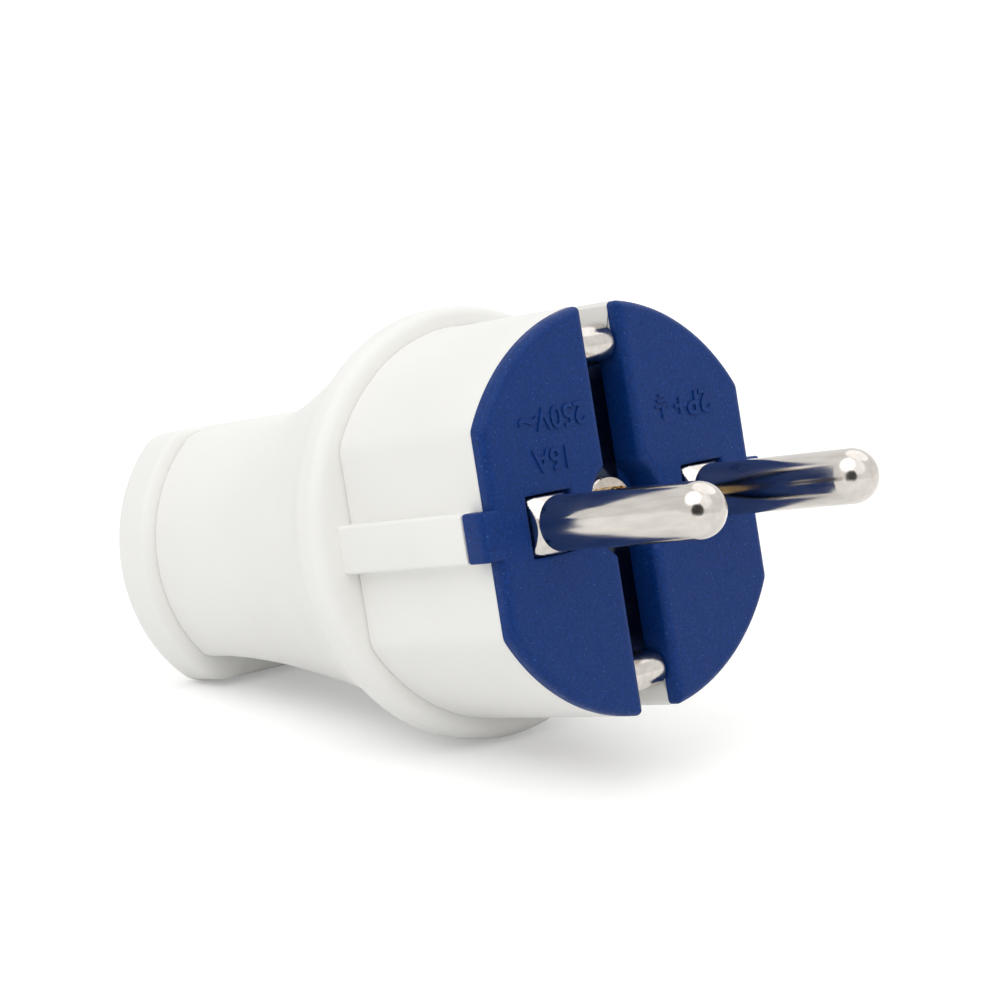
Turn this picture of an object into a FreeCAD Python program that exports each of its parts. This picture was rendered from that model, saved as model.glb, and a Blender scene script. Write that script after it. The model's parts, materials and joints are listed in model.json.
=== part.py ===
import FreeCAD, Part
import math
import os

import Sketcher

# Rewirable earthed mains plug with two round pins, modelled lying on its collar and its rear lip.
# Inside the plug's own frame the pins point along +X from the face at X = 0, the pins stand side by
# side along Y, and the slot of the face and the two earth contacts lie in the XZ plane.

doc = FreeCAD.newDocument("EarthedPlug")
os.makedirs("parts", exist_ok=True)

SIZES = {
    # Face and skirt
    "block_room": 1,
    "flat_cut": 2.3,
    "skirt_corner": 1.5,
    "skirt_depth": 19.2,
    "wall": 2.2,
    "flange": 1.4,
    "face_round": 0.8,
    "rib_height": 1.5,
    "rib_width": 4.3,
    "tab_depth": 2.5,
    # Collar, flare and grip: steps in radius, and lengths that follow one another from the ledge
    "crown_step": 1.9,
    "crown_round": 1.2,
    "crown_run": 13.6,
    "flare_run": 15.4,
    "neck_step": 5.7,
    "neck_run": 3.2,
    "lip_step": 1.3,
    "lip_length": 4.6,
    "lip_round": 1.2,
    "lip_fillet": 0.8,
    "lip_flat_step": 1.8,
    "waist_cut": 3.6,
    "ramp_lead": 2.6,
    "ramp_run": 20,
    "ramp_ease": 1.4,
    # Inside of the housing
    "throat_step": 3.8,
    "throat_room": 0.8,
    "cone_length": 6.2,
    "bore_radius": 4.6,
    "bore_mouth": 0.8,
    "boss_radius": 3.6,
    "boss_front": 14.5,
    "boss_end": 1,
    "web_thick": 2.6,
    "web_front": 16,
    "web_tail": 2,
    "channel_half": 3.8,
    "channel_wall": 2,
    # Pins and their terminals
    "pin_spacing": 19,
    "pin_diameter": 4.8,
    "pin_length": 19.5,
    "tip_round": 2.3,
    "base_side": 5,
    "base_proud": 0.9,
    "base_slope": 1.3,
    "block_width": 6.4,
    "block_height": 6.4,
    "block_length": 8.4,
    "wire_bore": 1.6,
    "wire_depth": 7,
    "terminal_back": 3,
    # Face insert
    "slot_half": 2.15,
    "strap_seat": 3.8,
    "recess_radius": 4.4,
    "carrier_back": 8,
    "barrier_offset": 4.9,
    "barrier_thick": 1.2,
    "barrier_half": 7,
    "barrier_length": 7.5,
    "tongue_room": 3,
    "tongue_neck": 17.5,
    "tongue_top": 3.9,
    "tongue_thick": 3.2,
    "tongue_back": 31,
    "post_half": 2.2,
    "post_inset": 2.3,
    "post_top": 0.6,
    "saddle_length": 6.4,
    # Earth strip
    "strip_width": 4,
    "strip_thick": 0.8,
    "hook_round": 1.3,
    "hook_front": 0.8,
    "contact_inset": 1.95,
    "contact_end": 2.8,
    "groove_half": 2.3,
    "groove_room": 0.8,
    "earth_offset": 8,
    # Screws, washers, nuts and bush
    "screw_radius": 1.75,
    "screw_hole": 1.95,
    "screw_head": 2.5,
    "screw_head_height": 1.5,
    "washer_radius": 2.9,
    "washer_thick": 0.5,
    "bush_radius": 2.7,
    "bush_length": 6.5,
    "bush_spare": 1,
    "small_radius": 1.5,
    "small_hole": 1.65,
    "small_head": 2.3,
    "small_head_height": 1.7,
    "earth_washer_half": 3.1,
    "drive_width": 0.8,
    "drive_depth": 0.8,
    "nut_side": 5,
    "nut_thick": 1.8,
    # Cord saddle
    "saddle_thick": 1.6,
    "saddle_inset": 0.1,
    "cord_radius": 3.2,
    # Clearances
    "loose": 0.15,
    # Angle, in degrees, of the seam of turned faces from the plane of symmetry
    "seam_roll": 20,
}

# Sizes that follow from the ones above: radii from the axis, and depths behind the face
TIES = {
    "skirt_flat": "pin_spacing / 2 + block_width / 2 + block_room + wall",
    "skirt_radius": "skirt_flat + flat_cut",
    "rib_reach": "skirt_flat + rib_height",
    "crown_radius": "skirt_radius + crown_step",
    "neck_radius": "crown_radius - neck_step",
    "lip_radius": "neck_radius + lip_step",
    "waist_height": "neck_radius - waist_cut",
    "lip_flat": "waist_height + lip_flat_step",
    "crown_front": "skirt_depth + crown_round",
    "ramp_head": "crown_front + ramp_lead",
    "ramp_foot": "ramp_head + ramp_run",
    "flare_turn": "crown_front + crown_run",
    "flare_end": "flare_turn + flare_run",
    "lip_front": "flare_end + neck_run",
    "plug_back": "lip_front + lip_length",
    "throat_radius": "skirt_radius - wall - throat_step",
    "tongue_half": "throat_radius - tongue_room",
    "post_offset": "tongue_half - post_inset",
    "saddle_half": "tongue_half - saddle_inset",
    "throat_end": "tongue_back + throat_room",
    "bore_start": "throat_end + cone_length",
    "contact_height": "skirt_radius - contact_inset",
    "contact_back": "skirt_depth - contact_end",
    "groove_floor": "contact_height - strip_thick - loose",
    "groove_back": "contact_back + groove_room",
    "channel_roof": "groove_floor - channel_wall",
    "bush_back": "boss_front + bush_length",
    "boss_back": "bush_back + boss_end",
    "web_back": "boss_back + web_tail",
    "screw_end": "bush_back - bush_spare",
    "barrier_back": "carrier_back + barrier_length",
    "saddle_front": "tongue_back - saddle_length",
}

sheet = doc.addObject("Spreadsheet::Sheet", "Sizes")
cells = [(alias, str(number)) for alias, number in SIZES.items()]
cells += [(alias, "=" + formula) for alias, formula in TIES.items()]
for row, (alias, content) in enumerate(cells, start=1):
    sheet.set(f"A{row}", alias)
    sheet.set(f"B{row}", content)
    sheet.setAlias(f"B{row}", alias)
doc.recompute()


class Size:
    """A length that knows its value in millimetres and the sheet expression that gives it."""

    def __init__(self, value, text):
        self.value = value
        self.text = text

    @staticmethod
    def of(other):
        return other if isinstance(other, Size) else Size(float(other), repr(float(other)))

    def __add__(self, other):
        other = Size.of(other)
        return Size(self.value + other.value, f"({self.text} + {other.text})")

    def __sub__(self, other):
        other = Size.of(other)
        return Size(self.value - other.value, f"({self.text} - {other.text})")

    def __mul__(self, other):
        other = Size.of(other)
        return Size(self.value * other.value, f"({self.text} * {other.text})")

    def __truediv__(self, other):
        other = Size.of(other)
        return Size(self.value / other.value, f"({self.text} / {other.text})")

    def __neg__(self):
        return Size(-self.value, f"(-1 * {self.text})")

    def root(self):
        return Size(math.sqrt(self.value), f"sqrt({self.text})")


def dim(alias):
    return Size(float(sheet.get(alias)), f"Sizes.{alias}")


ZERO = Size(0.0, "0")


def half_chord(radius, height):
    """Half the chord that a line at this height cuts from a circle of this radius."""
    return (radius * radius - height * height).root()


def new_body(label):
    body = doc.addObject("PartDesign::Body", label)
    body.Label = label
    return body


def origin_plane(body, role):
    return next(plane for plane in body.Origin.OriginFeatures if plane.Role == role)


def new_sketch(body, name, role, offset=ZERO, roll=ZERO):
    """A sketch on one of the body's own planes.

    It is moved along the plane's normal by the offset, and rolled about its horizontal axis.
    """
    sketch = body.newObject("Sketcher::SketchObject", name)
    sketch.AttachmentSupport = (origin_plane(body, role), [""])
    sketch.MapMode = "FlatFace"
    sketch.AttachmentOffset = FreeCAD.Placement(
        FreeCAD.Vector(), FreeCAD.Rotation(FreeCAD.Vector(1, 0, 0), roll.value))
    sketch.setExpression("AttachmentOffset.Base.z", offset.text)
    doc.recompute()
    return sketch


def pin_point(sketch, geometry, end, x, y):
    """Holds one end of a sketch element at x, y."""
    if abs(x.value) < 1e-9:
        sketch.addConstraint(Sketcher.Constraint("PointOnObject", geometry, end, -2))
    else:
        index = sketch.addConstraint(Sketcher.Constraint("DistanceX", -1, 1, geometry, end, x.value))
        sketch.setExpression(f"Constraints[{index}]", x.text)
    if abs(y.value) < 1e-9:
        sketch.addConstraint(Sketcher.Constraint("PointOnObject", geometry, end, -1))
    else:
        index = sketch.addConstraint(Sketcher.Constraint("DistanceY", -1, 1, geometry, end, y.value))
        sketch.setExpression(f"Constraints[{index}]", y.text)


def arc_between(start, end, radius, turn):
    """The arc of the given radius from start to end: turn is 1 anticlockwise and -1 clockwise."""
    ax, ay = start
    bx, by = end
    chord = math.hypot(bx - ax, by - ay)
    rise = math.sqrt(max(radius * radius - chord * chord / 4, 0.0))
    cx = (ax + bx) / 2 - turn * rise * (by - ay) / chord
    cy = (ay + by) / 2 + turn * rise * (bx - ax) / chord
    first = math.atan2(ay - cy, ax - cx)
    last = math.atan2(by - cy, bx - cx)
    if turn < 0:
        first, last = last, first
    centre = FreeCAD.Vector(cx, cy, 0)
    return Part.ArcOfCircle(Part.Circle(centre, FreeCAD.Vector(0, 0, 1), radius), first, last)


def draw_path(sketch, corners, closed=True):
    """Draws lines and arcs through the corners.

    A corner is (x, y), and a third and fourth entry, radius and turn, make the element that leaves
    it an arc of that radius, turning anticlockwise for 1 and clockwise for -1.
    """
    count = len(corners) if closed else len(corners) - 1
    ends = []
    for index in range(count):
        here = corners[index]
        there = corners[(index + 1) % len(corners)]
        a = (here[0].value, here[1].value)
        b = (there[0].value, there[1].value)
        if len(here) > 2:
            radius, turn = here[2], here[3]
            element = sketch.addGeometry(arc_between(a, b, radius.value, turn))
            ends.append((element, 1, 2) if turn > 0 else (element, 2, 1))
        else:
            line = Part.LineSegment(FreeCAD.Vector(*a, 0), FreeCAD.Vector(*b, 0))
            element = sketch.addGeometry(line)
            ends.append((element, 1, 2))
    for index, (element, start, finish) in enumerate(ends):
        pin_point(sketch, element, start, corners[index][0], corners[index][1])
        if len(corners[index]) > 2:
            radius = corners[index][2]
            mark = sketch.addConstraint(Sketcher.Constraint("Radius", element, radius.value))
            sketch.setExpression(f"Constraints[{mark}]", radius.text)
        if index + 1 < len(ends) or closed:
            after = ends[(index + 1) % len(ends)]
            joint = Sketcher.Constraint("Coincident", element, finish, after[0], after[1])
            sketch.addConstraint(joint)
        else:
            pin_point(sketch, element, finish, corners[-1][0], corners[-1][1])


def flipped(corners):
    """The same path on the other side of the sketch's horizontal axis."""
    return [(corner[0], -corner[1], *corner[2:3], *(-turn for turn in corner[3:]))
            for corner in corners]


def draw_circle(sketch, x, y, radius):
    centre = FreeCAD.Vector(x.value, y.value, 0)
    element = sketch.addGeometry(Part.Circle(centre, FreeCAD.Vector(0, 0, 1), radius.value))
    pin_point(sketch, element, 3, x, y)
    mark = sketch.addConstraint(Sketcher.Constraint("Radius", element, radius.value))
    sketch.setExpression(f"Constraints[{mark}]", radius.text)


def draw_box(sketch, low_x, low_y, high_x, high_y):
    draw_path(sketch, [(low_x, low_y), (high_x, low_y), (high_x, high_y), (low_x, high_y)])


def draw_flatted_circle(sketch, radius, flat, corner):
    """A circle about the plug's axis with a flat at each side and rounded corners between them."""
    middle_x = flat - corner
    middle_y = half_chord(radius - corner, middle_x)
    outward = radius / (radius - corner)
    arc_x = middle_x * outward
    arc_y = middle_y * outward
    draw_path(sketch, [
        (flat, -middle_y),
        (flat, middle_y, corner, 1),
        (arc_x, arc_y, radius, 1),
        (-arc_x, arc_y, corner, 1),
        (-flat, middle_y),
        (-flat, -middle_y, corner, 1),
        (-arc_x, -arc_y, radius, 1),
        (arc_x, -arc_y, corner, 1)])


def pad(body, sketch, length, reverse=False):
    feature = body.newObject("PartDesign::Pad", sketch.Name + "Pad")
    feature.Profile = sketch
    feature.setExpression("Length", length.text)
    feature.Reversed = reverse
    doc.recompute()
    return feature


def removed(body, feature, before):
    doc.recompute()
    if body.Shape.Volume > before - 0.01:
        raise RuntimeError(f"{feature.Name} takes nothing away")


def pocket(body, sketch, length, forward=False):
    """Cuts away from the sketch's normal, or along it when forward is set."""
    before = body.Shape.Volume
    feature = body.newObject("PartDesign::Pocket", sketch.Name + "Pocket")
    feature.Profile = sketch
    feature.setExpression("Length", length.text)
    feature.Reversed = forward
    removed(body, feature, before)
    return feature


def cut_across(body, sketch, width):
    """Cuts the sketch right through the body, the same distance to either side of its plane."""
    before = body.Shape.Volume
    feature = body.newObject("PartDesign::Pocket", sketch.Name + "Pocket")
    feature.Profile = sketch
    feature.Midplane = True
    feature.setExpression("Length", width.text)
    removed(body, feature, before)
    return feature


def revolve(body, sketch):
    feature = body.newObject("PartDesign::Revolution", sketch.Name + "Turned")
    feature.Profile = sketch
    feature.ReferenceAxis = (sketch, ["H_Axis"])
    feature.Angle = 360
    doc.recompute()
    return feature


def groove(body, sketch):
    before = body.Shape.Volume
    feature = body.newObject("PartDesign::Groove", sketch.Name + "Groove")
    feature.Profile = sketch
    feature.ReferenceAxis = (sketch, ["H_Axis"])
    feature.Angle = 360
    removed(body, feature, before)
    return feature


def mirror(body, feature, role):
    """Repeats a feature on the other side of one of the body's planes."""
    twin = body.newObject("PartDesign::Mirrored", feature.Name + "Twin")
    twin.Originals = [feature]
    twin.MirrorPlane = (origin_plane(body, role), [""])
    body.Tip = twin
    doc.recompute()
    return twin


def make_housing():
    body = new_body("housing")
    back = dim("plug_back")
    crown = dim("crown_radius")
    front = dim("skirt_depth")
    crown_round = dim("crown_round")
    neck = dim("neck_radius")
    lip = dim("lip_radius")
    lip_front = dim("lip_front")
    lip_round = dim("lip_round")
    fillet = dim("lip_fillet")

    # Collar, flare, neck and rear lip: one profile turned about the plug's axis. The collar's arc
    # and the flare's arc meet without a corner, and the flare runs level into the neck.
    crown_x = dim("crown_front")
    turn_x = dim("flare_turn")
    level_x = dim("flare_end")
    fall = crown - neck
    stretch = level_x - crown_x
    slope_sine = fall * stretch * 2 / (stretch * stretch + fall * fall)
    slope_drop = fall * fall * 2 / (stretch * stretch + fall * fall)
    sweep = (turn_x - crown_x) / slope_sine
    profile = new_sketch(body, "TurnedProfile", "XZ_Plane", roll=dim("seam_roll"))
    draw_path(profile, [
        (-back, ZERO),
        (-back, lip - lip_round, lip_round, -1),
        (-(back - lip_round), lip),
        (-(lip_front + lip_round), lip, lip_round, -1),
        (-lip_front, lip - lip_round),
        (-lip_front, neck + fillet, fillet, 1),
        (-(lip_front - fillet), neck),
        (-level_x, neck, (level_x - turn_x) / slope_sine, 1),
        (-turn_x, crown - sweep * slope_drop, sweep, -1),
        (-crown_x, crown, crown_round, -1),
        (-front, crown - crown_round),
        (-front, ZERO)])
    revolve(body, profile)

    # Finger flats above and below: level across the lip, hollow at the waist, then a straight ramp
    # up to the collar
    flat = dim("lip_flat")
    waist = dim("waist_height")
    foot = dim("ramp_foot")
    head = dim("ramp_head")
    ease = dim("ramp_ease")
    run = foot - head
    rise = crown - waist
    length = (run * run + rise * rise).root()
    spread = (length + run) / rise
    hollow = lip_front - fillet - foot
    reach = crown * 2
    outline = [
        (-reach * 2, flat - lip_round),
        (-back, flat - lip_round, lip_round, -1),
        (-(back - lip_round), flat),
        (-(lip_front + lip_round), flat, lip_round, -1),
        (-lip_front, flat - lip_round),
        (-lip_front, waist + fillet, fillet, 1),
        (-(lip_front - fillet), waist, hollow * spread, 1),
        (hollow * run / length - foot, waist + hollow * rise / length),
        (-(head + ease * run / length), crown - ease * rise / length, ease * spread, -1),
        (-(head - ease), crown),
        (-(head - ease), reach),
        (-reach * 2, reach)]
    for name, corners in (("UpperFlat", outline), ("LowerFlat", flipped(outline))):
        grip = new_sketch(body, name, "XZ_Plane")
        draw_path(grip, corners)
        cut_across(body, grip, reach * 2)

    # Skirt with its two side flats, and the guide ribs on the flats
    skirt = new_sketch(body, "SkirtOutline", "YZ_Plane", -dim("flange"))
    draw_flatted_circle(skirt, dim("skirt_radius"), dim("skirt_flat"), dim("skirt_corner"))
    pad(body, skirt, crown_x - dim("flange"), reverse=True)
    rib = new_sketch(body, "GuideRib", "YZ_Plane", -(dim("tab_depth") + dim("loose")))
    draw_box(rib, dim("skirt_flat") - dim("wall") / 2, -dim("rib_width") / 2,
             dim("rib_reach"), dim("rib_width") / 2)
    rib_pad = pad(body, rib, crown_x - dim("tab_depth") - dim("loose"), reverse=True)
    mirror(body, rib_pad, "XZ_Plane")

    # Hollow inside: skirt chamber, throat and cord bore
    chamber = new_sketch(body, "Chamber", "YZ_Plane", -dim("flange"))
    draw_flatted_circle(chamber, dim("skirt_radius") - dim("wall"), dim("skirt_flat") - dim("wall"),
                        dim("skirt_corner"))
    pocket(body, chamber, crown_x - dim("flange"))
    throat = new_sketch(body, "Throat", "XZ_Plane", roll=dim("seam_roll"))
    bore = dim("bore_radius")
    mouth = dim("bore_mouth")
    draw_path(throat, [
        (-crown_x, ZERO),
        (-back, ZERO),
        (-back, bore + mouth),
        (-(back - mouth), bore),
        (-dim("bore_start"), bore),
        (-dim("throat_end"), dim("throat_radius")),
        (-crown_x, dim("throat_radius"))])
    groove(body, throat)

    # Inner channels that back the earth contacts, and the outer grooves that show them
    channel = new_sketch(body, "Channel", "YZ_Plane", -(dim("carrier_back") + dim("loose")))
    draw_box(channel, -dim("channel_half"), dim("channel_roof"),
             dim("channel_half"), dim("skirt_radius") - dim("wall") / 2)
    long_way = crown_x - dim("carrier_back") - dim("loose")
    mirror(body, pad(body, channel, long_way, reverse=True), "XY_Plane")
    contact = new_sketch(body, "ContactGroove", "YZ_Plane", ZERO)
    draw_box(contact, -dim("groove_half"), dim("groove_floor"), dim("groove_half"), crown)
    contact_cut = pocket(body, contact, dim("groove_back"))
    mirror(body, contact_cut, "XY_Plane")

    # Screw boss on the axis, hung from the upper wall by a web
    boss = new_sketch(body, "Boss", "YZ_Plane", -dim("boss_front"))
    draw_circle(boss, ZERO, ZERO, dim("boss_radius"))
    pad(body, boss, dim("boss_back") - dim("boss_front"), reverse=True)
    web = new_sketch(body, "BossWeb", "YZ_Plane", -dim("web_front"))
    draw_box(web, -dim("web_thick") / 2, dim("boss_radius") / 2,
             dim("web_thick") / 2, (dim("channel_roof") + dim("groove_floor")) / 2)
    pad(body, web, dim("web_back") - dim("web_front"), reverse=True)
    seat = new_sketch(body, "BushSeat", "YZ_Plane", -dim("boss_front"))
    draw_circle(seat, ZERO, ZERO, dim("bush_radius"))
    pocket(body, seat, dim("bush_back") - dim("boss_front"))
    return body


def make_pin_carrier():
    body = new_body("pin_carrier")
    loose = dim("loose")
    flange = dim("flange")
    back = dim("carrier_back")
    reach = dim("crown_radius")

    # Flange with its rounded front edge, flush with the skirt
    face = new_sketch(body, "FlangeOutline", "YZ_Plane")
    draw_flatted_circle(face, dim("skirt_radius"), dim("skirt_flat"), dim("skirt_corner"))
    plate = pad(body, face, flange, reverse=True)
    rim = [f"Edge{number}" for number, edge in enumerate(plate.Shape.Edges, start=1)
           if edge.BoundBox.XMin > -0.001]
    rounding = body.newObject("PartDesign::Fillet", "FaceRounding")
    rounding.Base = (plate, rim)
    rounding.setExpression("Radius", dim("face_round").text)
    doc.recompute()

    # Tabs that cover the ends of the guide ribs
    tab = new_sketch(body, "Tab", "YZ_Plane")
    draw_box(tab, dim("skirt_flat") - dim("face_round") * 2, -dim("rib_width") / 2,
             dim("rib_reach"), dim("rib_width") / 2)
    tab_pad = pad(body, tab, flange, reverse=True)
    mirror(body, tab_pad, "XZ_Plane")
    tail = new_sketch(body, "TabTail", "YZ_Plane", -flange)
    draw_box(tail, dim("skirt_flat") + loose, -dim("rib_width") / 2,
             dim("rib_reach"), dim("rib_width") / 2)
    mirror(body, pad(body, tail, dim("tab_depth") - flange, reverse=True), "XZ_Plane")

    # Plug-in body, the barriers beside the pins and the tongue that carries the cord clamp
    inner = new_sketch(body, "PlugInBody", "YZ_Plane", -flange)
    draw_flatted_circle(inner, dim("skirt_radius") - dim("wall") - loose,
                        dim("skirt_flat") - dim("wall") - loose, dim("skirt_corner"))
    pad(body, inner, back - flange, reverse=True)
    barrier = new_sketch(body, "Barrier", "YZ_Plane", -back)
    draw_box(barrier, dim("barrier_offset") - dim("barrier_thick"), -dim("barrier_half"),
             dim("barrier_offset"), dim("barrier_half"))
    mirror(body, pad(body, barrier, dim("barrier_back") - back, reverse=True), "XZ_Plane")
    tongue = new_sketch(body, "Tongue", "XY_Plane", -dim("tongue_top"))
    neck_x = -dim("tongue_neck")
    end_x = -dim("tongue_back")
    narrow = dim("barrier_offset")
    wide = dim("tongue_half")
    draw_path(tongue, [
        (-back, -narrow), (-back, narrow), (neck_x, narrow), (neck_x, wide),
        (end_x, wide), (end_x, -wide), (neck_x, -wide), (neck_x, -narrow)])
    pad(body, tongue, dim("tongue_thick"), reverse=True)
    post = new_sketch(body, "Post", "YZ_Plane", -dim("saddle_front"))
    draw_box(post, dim("post_offset") - dim("post_half"), -dim("tongue_top"),
             dim("post_offset") + dim("post_half"), -dim("post_top"))
    mirror(body, pad(body, post, dim("tongue_back") - dim("saddle_front"), reverse=True), "XZ_Plane")

    # Slot down the whole face, round recess at its middle, windows for the pins
    slot = new_sketch(body, "Slot", "YZ_Plane")
    draw_box(slot, -dim("slot_half"), -reach, dim("slot_half"), reach)
    pocket(body, slot, dim("strap_seat"))
    recess = new_sketch(body, "Recess", "YZ_Plane")
    draw_circle(recess, ZERO, ZERO, dim("recess_radius"))
    pocket(body, recess, dim("strap_seat"))
    relief = new_sketch(body, "ContactRelief", "YZ_Plane")
    draw_box(relief, -dim("slot_half"), dim("groove_floor"), dim("slot_half"), reach)
    mirror(body, pocket(body, relief, back), "XY_Plane")
    window = new_sketch(body, "Window", "YZ_Plane")
    middle = dim("pin_spacing") / 2
    half = dim("base_side") / 2 + loose
    draw_box(window, middle - half, -half, middle + half, half)
    mirror(body, pocket(body, window, back), "XZ_Plane")

    # Screw holes
    hole = new_sketch(body, "AssemblyHole", "YZ_Plane")
    draw_circle(hole, ZERO, ZERO, dim("screw_hole"))
    pocket(body, hole, back)
    earth = new_sketch(body, "EarthHole", "YZ_Plane")
    draw_circle(earth, ZERO, dim("earth_offset"), dim("screw_hole"))
    pocket(body, earth, back)
    clamp_x = (dim("saddle_front") + dim("tongue_back")) / 2
    clamp = new_sketch(body, "ClampHole", "XY_Plane", -dim("post_top"))
    draw_circle(clamp, -clamp_x, dim("post_offset"), dim("small_hole"))
    mirror(body, pocket(body, clamp, reach), "XZ_Plane")
    nut = new_sketch(body, "NutSeat", "XY_Plane", -(dim("tongue_top") + dim("tongue_thick")))
    nut_half = dim("nut_side") / 2
    draw_box(nut, -(clamp_x + nut_half), dim("post_offset") - nut_half,
             -(clamp_x - nut_half), dim("post_offset") + nut_half)
    mirror(body, pocket(body, nut, dim("nut_thick"), forward=True), "XZ_Plane")
    return body


def make_pin(label):
    """One pin on its own axis: round shank, square base with turned corners, terminal block."""
    body = new_body(label)
    side = dim("base_side")
    back = dim("carrier_back")
    block_end = back + dim("block_length")
    shank = new_sketch(body, label + "Shank", "YZ_Plane")
    draw_circle(shank, ZERO, ZERO, dim("pin_diameter") / 2)
    rod = pad(body, shank, dim("pin_length"))
    tip = [f"Edge{number}" for number, edge in enumerate(rod.Shape.Edges, start=1)
           if edge.BoundBox.XMin > dim("pin_length").value - 0.001]
    rounding = body.newObject("PartDesign::Fillet", label + "Tip")
    rounding.Base = (rod, tip)
    rounding.setExpression("Radius", dim("tip_round").text)
    doc.recompute()
    base = new_sketch(body, label + "Base", "YZ_Plane", dim("base_proud"))
    draw_box(base, -side / 2, -side / 2, side / 2, side / 2)
    pad(body, base, dim("base_proud") + back, reverse=True)
    corner = new_sketch(body, label + "Corners", "XZ_Plane")
    radius = dim("pin_diameter") / 2
    draw_path(corner, [
        (dim("base_proud"), radius),
        (dim("base_proud"), side),
        (dim("base_proud") - (side - radius) * dim("base_slope"), side)])
    groove(body, corner)
    block = new_sketch(body, label + "Block", "YZ_Plane", -back)
    half_width = dim("block_width") / 2
    half_height = dim("block_height") / 2
    draw_box(block, -half_width, -half_height, half_width, half_height)
    pad(body, block, dim("block_length"), reverse=True)
    bore = new_sketch(body, label + "WireBore", "YZ_Plane", -block_end)
    draw_circle(bore, ZERO, ZERO, dim("wire_bore"))
    pocket(body, bore, dim("wire_depth"), forward=True)
    tapped = new_sketch(body, label + "Tapped", "XY_Plane", -half_height)
    draw_circle(tapped, -(block_end - dim("terminal_back")), ZERO, dim("small_radius"))
    pocket(body, tapped, half_height, forward=True)
    return body


def make_earth_strip():
    """Nickel-plated strip: strap in the slot, a hook at each end and a contact leg along each side."""
    body = new_body("earth_strip")
    thick = dim("strip_thick")
    strap = -(dim("strap_seat") - thick / 2)
    leg = dim("contact_height") - thick / 2
    hook = dim("hook_round")
    hook_x = -(dim("hook_front") + thick / 2 + hook)
    elbow = hook_x - strap
    hook_low = leg - hook * 2
    end = -dim("contact_back")
    path = new_sketch(body, "StripPath", "XZ_Plane")
    upper = [
        (end, leg),
        (hook_x, leg, hook, -1),
        (hook_x + hook, leg - hook, hook, -1),
        (hook_x, hook_low, elbow, 1),
        (strap, hook_low - elbow)]
    lower = [
        (strap, -(hook_low - elbow), elbow, 1),
        (hook_x, -hook_low, hook, -1),
        (hook_x + hook, hook - leg, hook, -1),
        (hook_x, -leg),
        (end, -leg)]
    draw_path(path, upper + lower, closed=False)
    section = new_sketch(body, "StripSection", "YZ_Plane", end)
    half = dim("strip_width") / 2
    draw_box(section, -half, leg - thick / 2, half, leg + thick / 2)
    pipe = body.newObject("PartDesign::AdditivePipe", "Strip")
    pipe.Profile = section
    pipe.Spine = path
    doc.recompute()
    hole = new_sketch(body, "StripHoles", "YZ_Plane")
    draw_circle(hole, ZERO, ZERO, dim("screw_hole"))
    draw_circle(hole, ZERO, dim("earth_offset"), dim("screw_radius"))
    pocket(body, hole, dim("carrier_back"))
    return body


def make_screw(label, radius, length, head, head_height):
    """A slotted screw on the Z axis: shank from 0 down, head from 0 up."""
    body = new_body(label)
    top = new_sketch(body, label + "Head", "XY_Plane")
    draw_circle(top, ZERO, ZERO, head)
    cap = pad(body, top, head_height)
    rim = [f"Edge{number}" for number, edge in enumerate(cap.Shape.Edges, start=1)
           if edge.BoundBox.ZMin > head_height.value - 0.001]
    rounding = body.newObject("PartDesign::Chamfer", label + "Rim")
    rounding.Base = (cap, rim)
    rounding.setExpression("Size", (head_height / 5).text)
    doc.recompute()
    shank = new_sketch(body, label + "Shank", "XY_Plane")
    draw_circle(shank, ZERO, ZERO, radius)
    pad(body, shank, length, reverse=True)
    drive = new_sketch(body, label + "Drive", "XY_Plane", head_height)
    half = dim("drive_width") / 2
    draw_box(drive, -head * 2, -half, head * 2, half)
    pocket(body, drive, dim("drive_depth"))
    return body


def make_ring(label, outer, inner, thick, square=False):
    """A washer, nut or bush on the Z axis, from 0 up, round or square outside."""
    body = new_body(label)
    blank = new_sketch(body, label + "Blank", "XY_Plane")
    if square:
        draw_box(blank, -outer, -outer, outer, outer)
    else:
        draw_circle(blank, ZERO, ZERO, outer)
    pad(body, blank, thick)
    hole = new_sketch(body, label + "Hole", "XY_Plane")
    draw_circle(hole, ZERO, ZERO, inner)
    pocket(body, hole, thick, forward=True)
    return body


def make_saddle():
    """Arched cord saddle that sits on the two posts of the tongue."""
    body = new_body("cord_saddle")
    cord = dim("cord_radius")
    thick = dim("saddle_thick")
    half = dim("saddle_half")
    foot = -dim("post_top")
    arch = new_sketch(body, "SaddleArch", "YZ_Plane", -dim("saddle_front"))
    draw_path(arch, [
        (-half, foot),
        (-cord, foot, cord, -1),
        (ZERO, foot + cord, cord, -1),
        (cord, foot),
        (half, foot),
        (half, foot + thick),
        (half_chord(cord + thick, thick), foot + thick, cord + thick, 1),
        (-half_chord(cord + thick, thick), foot + thick),
        (-half, foot + thick)])
    pad(body, arch, dim("tongue_back") - dim("saddle_front"), reverse=True)
    clamp_x = (dim("saddle_front") + dim("tongue_back")) / 2
    hole = new_sketch(body, "SaddleHole", "XY_Plane", foot + thick)
    draw_circle(hole, -clamp_x, dim("post_offset"), dim("small_hole"))
    mirror(body, pocket(body, hole, thick), "XZ_Plane")
    return body


def turned(x, y, z, axis=None, angle=0.0):
    """A placement in the plug's own frame."""
    spin = FreeCAD.Rotation(axis or FreeCAD.Vector(0, 0, 1), angle)
    return FreeCAD.Placement(FreeCAD.Vector(x, y, z), spin)


ALONG_X = FreeCAD.Vector(0, 1, 0)

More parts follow.
